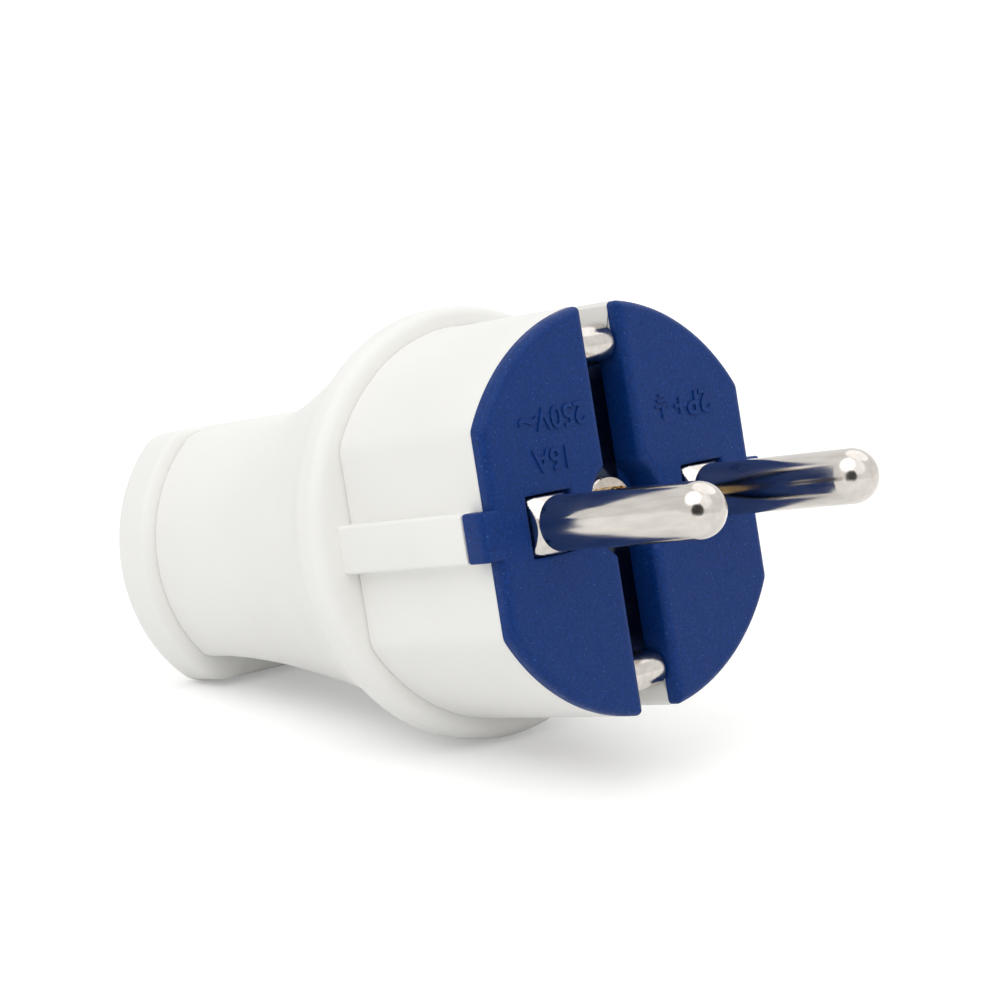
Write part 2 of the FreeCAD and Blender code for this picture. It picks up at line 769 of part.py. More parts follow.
pin_y = dim("pin_spacing").value / 2
strap_face = -(dim("strap_seat") - dim("strip_thick")).value
carrier_back = -dim("carrier_back").value
terminal_x = carrier_back - dim("block_length").value + dim("terminal_back").value
terminal_z = -dim("block_height").value / 2
clamp_x = -(dim("saddle_front") + dim("tongue_back")).value / 2
clamp_y = dim("post_offset").value
clamp_z = -(dim("post_top") - dim("saddle_thick")).value
nut_z = -(dim("tongue_top") + dim("tongue_thick")).value
washer = dim("washer_thick")
earth_z = dim("earth_offset").value

screw = (dim("screw_radius"), dim("screw_end") - dim("strap_seat") + dim("strip_thick") + washer,
         dim("screw_head"), dim("screw_head_height"))
earth_screw = (dim("screw_radius"), dim("carrier_back") - dim("strap_seat") + washer + dim("strip_thick"),
               dim("screw_head"), dim("screw_head_height"))
terminal_screw = (dim("small_radius"), dim("block_height") / 2 - dim("wire_bore") / 2,
                  dim("small_head"), dim("small_head_height"))
clamp_screw = (dim("small_radius"), dim("tongue_top") + dim("tongue_thick") - dim("post_top")
               + dim("saddle_thick"), dim("small_head"), dim("small_head_height"))

UPSIDE_DOWN = turned(terminal_x, 0, terminal_z, FreeCAD.Vector(1, 0, 0), 180)
pieces = [
    (make_housing(), turned(0, 0, 0)),
    (make_pin_carrier(), turned(0, 0, 0)),
    (make_pin("pin_left"), turned(0, pin_y, 0)),
    (make_pin("pin_right"), turned(0, -pin_y, 0)),
    (make_earth_strip(), turned(0, 0, 0)),
    (make_ring("assembly_washer", dim("washer_radius"), dim("screw_radius"), washer),
     turned(strap_face, 0, 0, ALONG_X, 90)),
    (make_screw("assembly_screw", *screw), turned(strap_face + washer.value, 0, 0, ALONG_X, 90)),
    (make_ring("threaded_bush", dim("bush_radius"), dim("screw_radius"),
               dim("bush_back") - dim("boss_front")),
     turned(-dim("bush_back").value, 0, 0, ALONG_X, 90)),
    (make_ring("earth_washer", dim("earth_washer_half"), dim("screw_radius"), washer, square=True),
     turned(carrier_back, 0, earth_z, ALONG_X, -90)),
    (make_screw("earth_screw", *earth_screw),
     turned(carrier_back - washer.value, 0, earth_z, ALONG_X, -90)),
    (make_screw("terminal_screw_left", *terminal_screw), turned(0, pin_y, 0) * UPSIDE_DOWN),
    (make_screw("terminal_screw_right", *terminal_screw), turned(0, -pin_y, 0) * UPSIDE_DOWN),
    (make_saddle(), turned(0, 0, 0)),
    (make_screw("clamp_screw_left", *clamp_screw), turned(clamp_x, clamp_y, clamp_z)),
    (make_screw("clamp_screw_right", *clamp_screw), turned(clamp_x, -clamp_y, clamp_z)),
    (make_ring("clamp_nut_left", dim("nut_side") / 2, dim("small_radius"), dim("nut_thick"),
               square=True), turned(clamp_x, clamp_y, nut_z)),
    (make_ring("clamp_nut_right", dim("nut_side") / 2, dim("small_radius"), dim("nut_thick"),
               square=True), turned(clamp_x, -clamp_y, nut_z)),
]
for piece, place in pieces:
    piece.Placement = place
doc.recompute()

# Rest: the plug tips up until one plane touches the rounding where the ramp meets the collar and
# the rounding of the lip's lower back edge
run = dim("ramp_foot").value - dim("ramp_head").value
rise = dim("crown_radius").value - dim("waist_height").value
head_round = dim("ramp_ease").value * (math.hypot(run, rise) + run) / rise
lip_round = dim("lip_round").value
apart = dim("plug_back").value - lip_round - dim("ramp_head").value + dim("ramp_ease").value
drop = dim("crown_radius").value - head_round - dim("lip_flat").value + lip_round
lean = math.atan2(drop, apart) + math.asin((head_round - lip_round) / math.hypot(drop, apart))
tipped = FreeCAD.Placement(FreeCAD.Vector(), FreeCAD.Rotation(ALONG_X, -math.degrees(lean)))
whole = Part.makeCompound([piece.Shape for piece, _ in pieces])
whole.Placement = tipped
box = whole.optimalBoundingBox(False)
rest = FreeCAD.Placement(FreeCAD.Vector(-box.Center.x, -box.Center.y, -box.ZMin), tipped.Rotation)
for piece, place in pieces:
    piece.Placement = rest * place
doc.recompute()

for item in doc.Objects:
    if "Invalid" in item.State or "Error" in item.State:
        raise RuntimeError(f"{item.Name} failed: {item.State}")
for piece, _ in pieces:
    if piece.Shape.isNull() or not piece.Shape.isValid() or not piece.Shape.Solids:
        raise RuntimeError(f"{piece.Label} has no valid solid")
for piece, _ in pieces:
    piece.Shape.exportStep(f"parts/{piece.Label}.step")
    print(piece.Label, len(piece.Shape.Solids), round(piece.Shape.Volume, 1))
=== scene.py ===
import json
import math

import bmesh
import bpy
import numpy as np
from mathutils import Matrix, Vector


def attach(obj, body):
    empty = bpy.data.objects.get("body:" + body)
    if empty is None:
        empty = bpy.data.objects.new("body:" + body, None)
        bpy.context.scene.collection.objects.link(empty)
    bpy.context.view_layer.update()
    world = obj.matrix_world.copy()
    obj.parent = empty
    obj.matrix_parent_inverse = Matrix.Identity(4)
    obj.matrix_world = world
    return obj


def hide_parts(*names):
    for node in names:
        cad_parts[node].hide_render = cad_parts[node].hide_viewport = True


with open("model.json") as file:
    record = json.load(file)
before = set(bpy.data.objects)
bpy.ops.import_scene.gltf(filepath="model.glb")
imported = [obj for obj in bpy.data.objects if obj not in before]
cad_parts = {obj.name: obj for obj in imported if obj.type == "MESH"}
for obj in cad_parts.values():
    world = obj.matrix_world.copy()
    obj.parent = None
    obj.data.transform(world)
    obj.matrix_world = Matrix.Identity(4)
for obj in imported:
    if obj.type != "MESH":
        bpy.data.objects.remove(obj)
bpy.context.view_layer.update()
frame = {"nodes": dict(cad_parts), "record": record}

bl_info = {
    "name": "Earthed Mains Plug",
    "version": (1, 0, 0),
    "blender": (4, 5, 0),
    "location": "View3D > Sidebar > Plug",
    "description": "Dresses the frame of an earthed mains plug with smooth surfaces and finishes",
    "category": "Object",
}

MM = 0.001
BODY = "root"

# TINY is the least rounding that an outline keeps, and how far the tabs stay behind the face. SINK is how
# deep touching surfaces of one piece sink into each other, and the radius left in the middle of a turned
# end. HAIR is the gap round the screw's shank. NEARLY_NOUGHT is the least value that may divide.
TINY = 0.03 * MM
SINK = 0.05 * MM
HAIR = 0.02 * MM
NEARLY_NOUGHT = 1e-6


# The plug's own frame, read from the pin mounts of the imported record: X runs out along the pins from
# the middle of the face, Y across them, Z along the slot of the face.

MOUNTS = {mount["name"]: mount for mount in frame["record"]["mounts"]}
PIN_LEFT = np.array(MOUNTS["pin_left"]["pos_m"])
PIN_RIGHT = np.array(MOUNTS["pin_right"]["pos_m"])
ALONG = np.array(MOUNTS["pin_left"]["axis"])
ACROSS = np.array([0.0, 1.0, 0.0])
UPWARD = np.cross(ALONG, ACROSS)
PIN_RADIUS = MOUNTS["pin_left"]["dims"]["r_mm"] * MM
PIN_WALL = MOUNTS["pin_left"]["dims"]["length_mm"] * MM
PIN_SPACING = float(PIN_LEFT[1] - PIN_RIGHT[1])
PIN_BASE_PROUD = 0.9 * MM
FACE = (PIN_LEFT + PIN_RIGHT) / 2 - ALONG * (PIN_BASE_PROUD + PIN_WALL / 2)
CORD_BORE = MOUNTS["cord_inlet"]["dims"]["r_mm"] * MM


def length(name, millimetres, description):
    """A length that a user can change, given in millimetres and kept in metres."""
    return bpy.props.FloatProperty(
        name=name, description=description, default=millimetres * MM, min=0.0, unit="LENGTH", precision=5)


def colour(name, linear, description):
    """A finish colour that a user can change."""
    return bpy.props.FloatVectorProperty(
        name=name, description=description, default=linear, size=3, min=0.0, max=1.0, subtype="COLOR")


class HousingSizes(bpy.types.PropertyGroup):
    """Sizes of the white housing."""
    skirt_radius: length("Skirt radius", 18.2, "Radius of the skirt behind the face")
    skirt_flat: length("Skirt flat", 15.9, "Distance of the skirt's side flats from the axis")
    crease: length("Crease", 0.14, "Depth of the grooves beside the collar and the lip")
    skirt_corner: length("Skirt corner", 0.4, "Softness of the corners beside the flats")
    skirt_depth: length("Skirt depth", 19.2, "Distance of the collar's ledge behind the face")
    wall: length("Wall", 2.2, "Thickness of the skirt's wall")
    flange: length("Flange", 1.4, "Thickness of the insert's flange in front of the skirt")
    collar_radius: length("Collar radius", 20.1, "Greatest radius of the collar")
    collar_round: length("Collar rounding", 1.2, "Rounding of the collar's front edge")
    crest_end: length("Crest end", 21.5, "Where the collar's crest ends")
    flare_turn: length("Flare turn", 21.95, "Where the collar's arc turns into the flare")
    flare_end: length("Flare end", 43.6, "Where the flare runs level into the neck")
    neck_radius: length("Neck radius", 14.4, "Smallest radius of the neck")
    lip_radius: length("Lip radius", 15.7, "Radius of the rear lip")
    lip_front: length("Lip front", 52, "Distance of the lip's front behind the face")
    lip_round: length("Lip rounding", 1.2, "Rounding of the lip's rear edge")
    lip_edge: length("Lip edge", 0.6, "Rounding of the lip's front edge")
    back: length("Back", 57.2, "Distance of the rear end behind the face")
    lip_flat: length("Lip flat", 12.6, "Height of the lip's flats")
    lower_waist: length("Lower waist", 10.1, "Height of the lower finger flat at the waist")
    lower_foot: length("Lower ramp foot", 42, "Where the lower ramp's line meets the waist")
    lower_head: length("Lower ramp head", 25, "Where the lower ramp's line meets the collar")
    lower_level: length("Lower level", 51.5, "Where the lower flat stops being level")
    upper_waist: length("Upper waist", 12.4, "Height of the upper finger flat at the waist")
    upper_foot: length("Upper ramp foot", 28, "Where the upper ramp's line meets the waist")
    upper_head: length("Upper ramp head", 23, "Where the upper ramp's line meets the collar")
    upper_level: length("Upper level", 38.7, "Where the upper flat stops being level")
    ramp_ease: length("Ramp ease", 1.4, "Half the length of the curve at a ramp's head")
    flat_corner: length("Flat corner", 1.1, "Softness of the edges beside the finger flats")
    throat: length("Throat", 12.2, "Radius of the space for the cord clamp")
    throat_end: length("Throat end", 31.8, "Where the throat starts to narrow")
    bore_start: length("Bore start", 38, "Where the cord bore starts")
    bore_mouth: length("Bore mouth", 0.8, "Rounding of the bore's mouth")
    groove_half: length("Groove half width", 2.3, "Half the width of the earth contact grooves")
    groove_floor: length("Groove floor", 15.3, "Height of the floor of the contact grooves")
    groove_back: length("Groove back", 17.2, "Distance of the grooves' end behind the face")
    rib_reach: length("Rib reach", 17.4, "Distance of the guide ribs' faces from the axis")
    rib_half: length("Rib half width", 2.15, "Half the width of the guide ribs")
    rib_edge: length("Rib rounding", 0.3, "Rounding of the guide ribs")
    rib_foot: length("Rib foot", 0.6, "Depth of the ribs' feet inside the skirt")
    rib_hold: length("Rib hold", 0.5, "How far the ribs run into the collar")
    rim_edge: length("Rim rounding", 0.25, "Rounding of the skirt's rim and of the grooves' mouths")
    groove_wall: length("Groove wall", 0.7, "Least wall under the contact grooves")
    soften_run: length("Softening run", 6, "Length over which the edges beside a finger flat grow soft")


class InsertSizes(bpy.types.PropertyGroup):
    """Sizes of the blue insert."""
    face_round: length("Face rounding", 0.8, "Rounding of the face's rim")
    slot_half: length("Slot half width", 2.15, "Half the width of the slot")
    slot_depth: length("Slot depth", 3.8, "Depth of the slot's floor")
    recess: length("Recess radius", 4.4, "Radius of the recess round the screw")
    body_back: length("Body back", 8, "Distance of the insert's back behind the face")
    window_half: length("Window half width", 2.65, "Half the width of the pin windows")
    tab_depth: length("Tab depth", 2.5, "Depth of the tabs over the guide ribs")
    slot_corner: length("Slot corner", 0.5, "Rounding of the lobes' corners beside the slot")
    flat_corner: length("Flat corner", 1.5, "Rounding of the lobes' corners beside the flats")
    barrier: length("Barrier offset", 4.3, "Distance of the barriers' middles from the axis")
    barrier_thick: length("Barrier thickness", 1.2, "Thickness of the barriers")
    barrier_half: length("Barrier half height", 7, "Half the height of the barriers")
    barrier_back: length("Barrier back", 15.5, "Distance of the barriers' end behind the face")
    tongue_half: length("Tongue half width", 9.2, "Half the width of the clamp's tongue")
    tongue_neck: length("Tongue neck", 17.5, "Where the tongue grows wide")
    tongue_top: length("Tongue top", 3.9, "Depth of the tongue's top below the axis")
    tongue_thick: length("Tongue thickness", 3.2, "Thickness of the tongue")
    tongue_back: length("Tongue back", 31, "Distance of the tongue's end behind the face")
    post_offset: length("Post offset", 6.9, "Distance of the clamp's posts from the axis")
    post_half: length("Post half width", 2.2, "Half the width of the posts")
    post_top: length("Post top", 0.6, "Depth of the posts' top below the axis")
    post_front: length("Post front", 24.6, "Distance of the posts' front behind the face")
    mark_height: length("Mark height", 0.28, "Height of the raised ratings")
    mark_weight: length("Mark weight", 0.05, "What the ratings' strokes gain on each side")
    clearance: length("Clearance", 0.15, "Gap between the insert and the housing")
    screw_hole: length("Screw hole radius", 1.95, "Radius of the hole for the screw")
    window_edge: length("Window rounding", 0.2, "Rounding of the windows' rims")
    window_corner: length("Window corner", 0.12, "Softness of the windows' corners")
    tab_root: length("Tab root", 0.3, "How far the tabs start inside the face's rounding")
    edge: length("End rounding", 0.25, "Rounding of the ends of the tabs, the posts and the tongue")
    barrier_round: length("Barrier rounding", 0.3, "Rounding of the barriers")
    post_round: length("Post rounding", 0.4, "Rounding of the posts' long edges")
    tongue_round: length("Tongue rounding", 0.8, "Rounding of the tongue's outer corners")
    neck_round: length("Neck rounding", 0.5, "Rounding where the tongue's neck grows wide")


class PinSizes(bpy.types.PropertyGroup):
    """Sizes of the two pins."""
    reach: length("Reach", 19.5, "Distance of the tip in front of the face")
    tip_round: length("Tip rounding", 2.3, "Rounding of the tip")
    base_half: length("Base half width", 2.5, "Half the side of the square base")
    base_corner: length("Base corner radius", 3.455, "Radius of the base's turned corners")
    base_depth: length("Base depth", 1.7, "Length of the base in front of the insert's body")
    base_slope: bpy.props.FloatProperty(
        name="Base slope", description="Run of the base's turned corners for one of rise", default=1.3)
    block_half: length("Block half width", 3.2, "Half the side of the terminal block")
    block_corner: length("Block corner radius", 4.1248, "Radius of the block's turned corners")
    block_edge: length("Block rounding", 0.2, "Rounding of the block's ends")
    block_length: length("Block length", 8.4, "Length of the terminal block")
    wire_bore: length("Wire bore", 1.6, "Radius of the wire hole")
    wire_depth: length("Wire depth", 7, "Depth of the wire hole")


class StripSizes(bpy.types.PropertyGroup):
    """Sizes of the earth strip and the screw in the recess."""
    half_width: length("Half width", 2.0, "Half the width of the strip")
    thick: length("Thickness", 0.8, "Thickness of the strip")
    edge: length("Edge rounding", 0.22, "Rounding of the strip's edges")
    hook_round: length("Hook radius", 1.3, "Centre-line radius of the hooks")
    hook_front: length("Hook front", 0.8, "Distance of the hooks' front behind the face")
    contact: length("Contact height", 16.25, "Height of the side contacts")
    contact_back: length("Contact back", 16.4, "Distance of the contacts' ends behind the face")
    washer: length("Washer radius", 2.9, "Radius of the washer under the screw")
    washer_thick: length("Washer thickness", 0.5, "Thickness of the washer")
    screw_head: length("Screw head radius", 1.95, "Radius of the screw's head")
    head_height: length("Screw head height", 1.5, "Height of the screw's head")
    drive_half: length("Drive half width", 0.4, "Half the width of the screw's slot")
    drive_depth: length("Drive depth", 0.8, "Depth of the screw's slot")
    shank: length("Shank radius", 1.75, "Radius of the screw's shank")
    turned_edge: length("Turned rounding", 0.12, "Rounding of the washer and of the head's rim")
    head_round: length("Head rounding", 0.3, "Rounding of the head's top")
    screw_end: length("Screw end", 20, "Distance of the screw's end behind the face")
    end_run: length("End taper length", 0.5, "Length of the taper at the screw's end")
    end_fall: length("End taper depth", 0.4, "Depth of the taper at the screw's end")


class PlugFinishes(bpy.types.PropertyGroup):
    """Colours of the finishes, as linear values."""
    shell: colour("Housing", (0.88, 0.875, 0.85), "Warm white of the moulded housing")
    insert: colour("Insert", (0.002, 0.031, 0.17), "Royal blue of the moulded insert")
    nickel: colour("Nickel", (0.605, 0.57, 0.53), "Nickel plating of the pins and the strip")
    brass: colour("Brass", (0.66, 0.46, 0.20), "Bare brass of the screws and the bush")
    steel: colour("Steel", (0.56, 0.57, 0.58), "Zinc-plated steel of the clamp's screws and nuts")


class StageSettings(bpy.types.PropertyGroup):
    """Camera, lamps and floor."""
    camera_place: bpy.props.FloatVectorProperty(
        name="Camera place", description="Where the camera stands", size=3, subtype="XYZ",
        unit="LENGTH", default=(0.18348, -0.16706, 0.07508))
    camera_turn: bpy.props.FloatVectorProperty(
        name="Camera turn", description="How the camera is turned", size=3, subtype="EULER",
        default=(math.radians(77.9465), math.radians(0.5991), math.radians(47.1256)))
    camera_view: bpy.props.FloatProperty(
        name="Camera view", description="The camera's angle of view", subtype="ANGLE",
        default=math.radians(20.655))
    floor_size: length("Floor size", 4000, "Side of the square floor")
    card_radius: length("Card radius", 110, "Radius of the dark card round the lens")


SIZES = {
    "plug_housing": HousingSizes,
    "plug_insert": InsertSizes,
    "plug_pins": PinSizes,
    "plug_strip": StripSizes,
    "plug_finishes": PlugFinishes,
    "plug_stage": StageSettings,
}


def to_row(points):
    """Points of the plug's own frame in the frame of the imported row: FACE + x along + y across + z up."""
    points = np.asarray(points, dtype=float)
    return FACE + points[..., :1] * ALONG + points[..., 1:2] * ACROSS + points[..., 2:] * UPWARD


def soft_min(a, b, k):
    """The smaller of a and b, with the corner between them rounded over the width k."""
    mix = np.clip(0.5 + 0.5 * (b - a) / k, 0.0, 1.0)
    return b + (a - b) * mix - k * mix * (1.0 - mix)


def divisor(values):
    """The values without their signs, kept off nought so that they can divide."""
    return np.maximum(np.abs(values), NEARLY_NOUGHT)


def arc(centre, radius, start, end, count):
    """Points on a circle about a centre from one angle to another, in degrees, as an array."""
    turn = np.radians(np.linspace(start, end, count))
    return np.stack([centre[0] + radius * np.cos(turn), centre[1] + radius * np.sin(turn)], axis=1)


def grid_faces(rows, columns, wrap_rows=False):
    """The faces of a grid of points whose columns close on themselves, and its rows too if asked."""
    last = rows if wrap_rows else rows - 1
    i = np.arange(last)[:, None]
    j = np.arange(columns)[None, :]
    below = i * columns
    above = ((i + 1) % rows) * columns
    beside = (j + 1) % columns
    return np.stack([below + j, below + beside, above + beside, above + j], axis=-1).reshape(-1, 4)


class Shell:
    """Collects the surfaces of one piece and makes them one mesh."""

    def __init__(self):
        self.points = []
        self.faces = []
        self.count = 0

    def add(self, points, faces):
        """Points and the faces between them, numbered from nought."""
        points = np.asarray(points, dtype=float).reshape(-1, 3)
        self.faces.extend([[int(corner) + self.count for corner in face] for face in faces])
        self.points.append(points)
        self.count += len(points)

    def add_rings(self, rings, wrap_rows=False):
        """Closed rings of equal length, joined in order: an array of rows, columns and XYZ.

        The last ring joins the first if asked, and otherwise a face closes each end.
        """
        rings = np.asarray(rings, dtype=float)
        rows, columns = rings.shape[:2]
        faces = grid_faces(rows, columns, wrap_rows).tolist()
        if not wrap_rows:
            faces.append(list(range(columns))[::-1])
            faces.append([(rows - 1) * columns + k for k in range(columns)])
        self.add(rings.reshape(-1, 3), faces)

    def build(self, name, finish, sharp=32.0):
        """Makes the object, with outward faces, smooth shading and sharp edges past the angle."""
        mesh = bpy.data.meshes.new(name)
        mesh.from_pydata(to_row(np.concatenate(self.points)).tolist(), [], self.faces)
        mesh.validate()
        mesh.update()
        made = bpy.data.objects.new(name, mesh)
        bpy.context.scene.collection.objects.link(made)
        outward(made)
        mesh.polygons.foreach_set("use_smooth", [True] * len(mesh.polygons))
        mesh.set_sharp_from_angle(angle=math.radians(sharp))
        mesh.materials.append(finish_for(finish))
        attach(made, BODY)
        return made


def outward(made):
    """Turns every closed shell of an object's mesh the right way out."""
    work = bmesh.new()
    work.from_mesh(made.data)
    bmesh.ops.recalc_face_normals(work, faces=work.faces)
    work.to_mesh(made.data)
    work.free()


def axis_rings(x, radii, angles):
    """Rings about the plug's axis: at each x, the point at each angle lies at its own radius."""
    x = np.asarray(x, dtype=float)[:, None]
    y = radii * np.cos(angles)
    z = radii * np.sin(angles)
    return np.stack([np.broadcast_to(x, y.shape), y, z], axis=-1)


# Housing

def turned_radius(sizes, depth):
    """Radius of the turned form at a depth behind the face.

    Behind the level crest two arcs share one tangent at the turn: the collar's has its centre below
    the crest's end, and the flare's has its centre above the neck. The sine of the tangent's slope is
    twice the fall times the run, over the sum of their squares.
    """
    run = sizes.flare_end - sizes.crest_end
    fall = sizes.collar_radius - sizes.neck_radius
    sine = 2 * fall * run / (run * run + fall * fall)
    sweep = (sizes.flare_turn - sizes.crest_end) / sine
    hollow = (sizes.flare_end - sizes.flare_turn) / sine
    if depth < sizes.flare_turn:
        return sizes.collar_radius - sweep + math.sqrt(sweep ** 2 - max(depth - sizes.crest_end, 0.0) ** 2)
    return sizes.neck_radius + hollow - math.sqrt(hollow ** 2 - max(sizes.flare_end - depth, 0.0) ** 2)


def flat_height(sizes, depth, waist, foot, head, level):
    """Height of a finger flat at a depth behind the face, and the softness of its edges there.

    From the waist a hollow arc rises into a straight ramp, and a short arc at the ramp's head
    meets the collar. In front of that the flat is clear of the collar. An arc's radius is the distance
    from its end to the corner that it rounds, times the sum of the ramp's slope length and run, over
    its rise.
    """
    run, rise = foot - head, sizes.collar_radius - waist
    slope = math.hypot(run, rise)
    spread = (slope + run) / rise
    reach = level - foot
    start = head - sizes.ramp_ease
    soft = sizes.flat_corner * min(max((depth - start) / sizes.soften_run, 0.0), 1.0) + NEARLY_NOUGHT
    if depth < start:
        return 2 * sizes.collar_radius, soft
    if depth < head + sizes.ramp_ease * run / slope:
        crest = sizes.ramp_ease * spread
        return sizes.collar_radius - crest + math.sqrt(crest ** 2 - (depth - start) ** 2), soft
    if depth < foot - reach * run / slope:
        return sizes.collar_radius - (depth - head) * rise / run, soft
    hollow = reach * spread
    return waist + hollow - math.sqrt(hollow ** 2 - max(level - depth, 0.0) ** 2), soft


def outline_columns(sizes, count=240, notch=20):
    """Angles of the housing's columns, with an even share of them across each contact groove."""
    edge = math.asin(sizes.groove_half / sizes.skirt_radius)
    top = np.linspace(math.pi / 2 - edge, math.pi / 2 + edge, notch)
    side = (count - 2 * notch) // 2
    left = np.linspace(math.pi / 2 + edge, 1.5 * math.pi - edge, side + 2)[1:-1]
    bottom = top + math.pi
    right = np.linspace(-math.pi / 2 + edge, math.pi / 2 - edge, side + 2)[1:-1]
    return np.concatenate([right, top, left, bottom]), side, notch


def flatted(radius, flat, corner, angles):
    """Radius of a circle with two side flats, at each angle."""
    beside = flat / divisor(np.cos(angles))
    return soft_min(np.full_like(angles, radius), beside, corner)


def notched(ring, half, floor, edge, side, notch):
    """A ring whose columns above and below walk down one wall of a groove, across and up again.

    The walk is measured by its length, so the columns share the walls and the floor evenly. The
    groove's mouth is rounded over the edge length.
    """
    made = ring.copy()
    for turn, first in ((1.0, side), (-1.0, 2 * side + notch)):
        rim = np.abs(ring[first, 2])
        path = np.array([
            (half + edge, rim), (half + edge * 0.3, rim - edge * 0.1), (half, rim - edge * 0.6),
            (half, floor + edge), (half - edge * 0.4, floor), (0.0, floor)])
        path = np.concatenate([path, path[-2::-1] * (-1, 1)])
        walked = np.concatenate([[0.0], np.cumsum(np.hypot(*np.diff(path, axis=0).T))])
        share = np.linspace(0.0, walked[-1], notch)
        made[first:first + notch, 1] = np.interp(share, walked, path[:, 0]) * turn
        made[first:first + notch, 2] = np.interp(share, walked, path[:, 1]) * turn
    return made


# Half the angle about the top and the bottom, in radians, where the skirt's inside gives way to the
# contact grooves; the share of a crease's depth that its floor is wide; the rings of the flare and the
# neck; and how far two rings of the cord bore, which keep its shading even, lie from its ends
GROOVE_SPREAD = 0.25
CREASE_FLOOR = 0.4
FLARE_RINGS, NECK_RINGS = 50, 70
BORE_MOUTH_RING, BORE_START_RING = 6 * MM, 4 * MM


def housing_rings(sizes):
    """One closed run of rings: out over the skirt and the collar, round the lip and back inside.

    Each ring is a circle about the plug's axis, cut by side flats in front and by the finger flats
    behind, with soft corners.
    """
    angles, side, notch = outline_columns(sizes)
    sine = divisor(np.sin(angles))
    radius, flange, ledge = sizes.skirt_radius, sizes.flange, sizes.skirt_depth
    skirt = flatted(radius, sizes.skirt_flat, sizes.skirt_corner, angles)
    inner = skirt - sizes.wall
    under_groove = (sizes.groove_floor - sizes.groove_wall) / sine
    inner = np.where(sine > math.cos(GROOVE_SPREAD), np.minimum(inner, under_groove), inner)
    edge = sizes.rim_edge
    rows = []

    def row(depth, radii, groove=False):
        """Adds the ring at a depth, with the contact grooves cut into it if asked."""
        ring = axis_rings([-depth], radii[None, :], angles)[0]
        if groove:
            ring = notched(ring, sizes.groove_half, sizes.groove_floor, edge, side, notch)
        rows.append(ring)

    # Skirt, from the rim behind the flange to the collar's ledge
    row(flange, inner + edge)
    row(flange, skirt - edge, groove=True)
    row(flange + edge * 0.32, skirt - edge * 0.3, groove=True)
    for depth in np.linspace(flange + edge, sizes.groove_back, 8):
        row(depth, skirt, groove=True)
    row(sizes.groove_back, skirt)
    for depth in np.linspace(sizes.groove_back, ledge - sizes.crease, 4)[1:]:
        row(depth, skirt)
    round_start = sizes.collar_radius - sizes.collar_round
    foot = skirt - sizes.crease
    row(ledge - sizes.crease * CREASE_FLOOR, foot)
    for share in (0.0, 0.35, 0.7):
        row(ledge, foot + (round_start - foot) * share)
    for depth, out in arc((ledge + sizes.collar_round, round_start), sizes.collar_round, 180, 90, 10):
        row(depth, np.full_like(angles, out))

    # Collar, flare and neck, closely spaced over the flare
    upper = np.sin(angles) > 0
    waist_end = sizes.lip_front - sizes.crease
    start = ledge + sizes.collar_round
    depths = np.concatenate([np.linspace(start, sizes.flare_end, FLARE_RINGS)[1:],
                             np.linspace(sizes.flare_end, waist_end, NECK_RINGS)[1:]])
    for depth in depths:
        above, above_soft = flat_height(
            sizes, depth, sizes.upper_waist, sizes.upper_foot, sizes.upper_head, sizes.upper_level)
        below, below_soft = flat_height(
            sizes, depth, sizes.lower_waist, sizes.lower_foot, sizes.lower_head, sizes.lower_level)
        neck = soft_min(np.full_like(angles, turned_radius(sizes, depth)),
                        np.where(upper, above, below) / sine, np.where(upper, above_soft, below_soft))
        row(depth, neck)

    # Rear lip: a fine groove at its foot, then a rounded edge
    edge_round, rounding = sizes.lip_edge, sizes.lip_round
    lip = soft_min(np.full_like(angles, sizes.lip_radius), sizes.lip_flat / sine, sizes.flat_corner)
    foot = neck - sizes.crease
    row(sizes.lip_front - sizes.crease * CREASE_FLOOR, foot)
    row(sizes.lip_front, foot)
    for turn in np.radians(np.linspace(0, 90, 8))[1:]:
        row(sizes.lip_front + edge_round * (1 - math.cos(turn)), foot + (lip - foot) * math.sin(turn))
    for depth in np.linspace(sizes.lip_front + edge_round, sizes.back - rounding, 5)[1:-1]:
        row(depth, lip)
    for dx, dz in arc((0, 0), rounding, 90, 0, 8):
        row(sizes.back - rounding + dx, lip - rounding + dz)

    # Rear face, cord bore, and the space inside
    bore, mouth = CORD_BORE, sizes.bore_mouth
    for share in (0.3, 0.65, 1.0):
        row(sizes.back, (lip - rounding) * (1 - share) + (bore + mouth) * share)
    for dx, dz in arc((0, 0), mouth, 0, -90, 6)[1:]:
        row(sizes.back - mouth + dx, np.full_like(angles, bore + mouth + dz))
    for depth in (sizes.back - BORE_MOUTH_RING, sizes.bore_start + BORE_START_RING, sizes.bore_start):
        row(depth, np.full_like(angles, bore))
    row(sizes.throat_end, np.full_like(angles, sizes.throat))
    row(ledge + sizes.collar_round, np.full_like(angles, sizes.throat))
    row(ledge + sizes.collar_round, inner)
    row(flange + edge, inner)
    return np.array(rows)


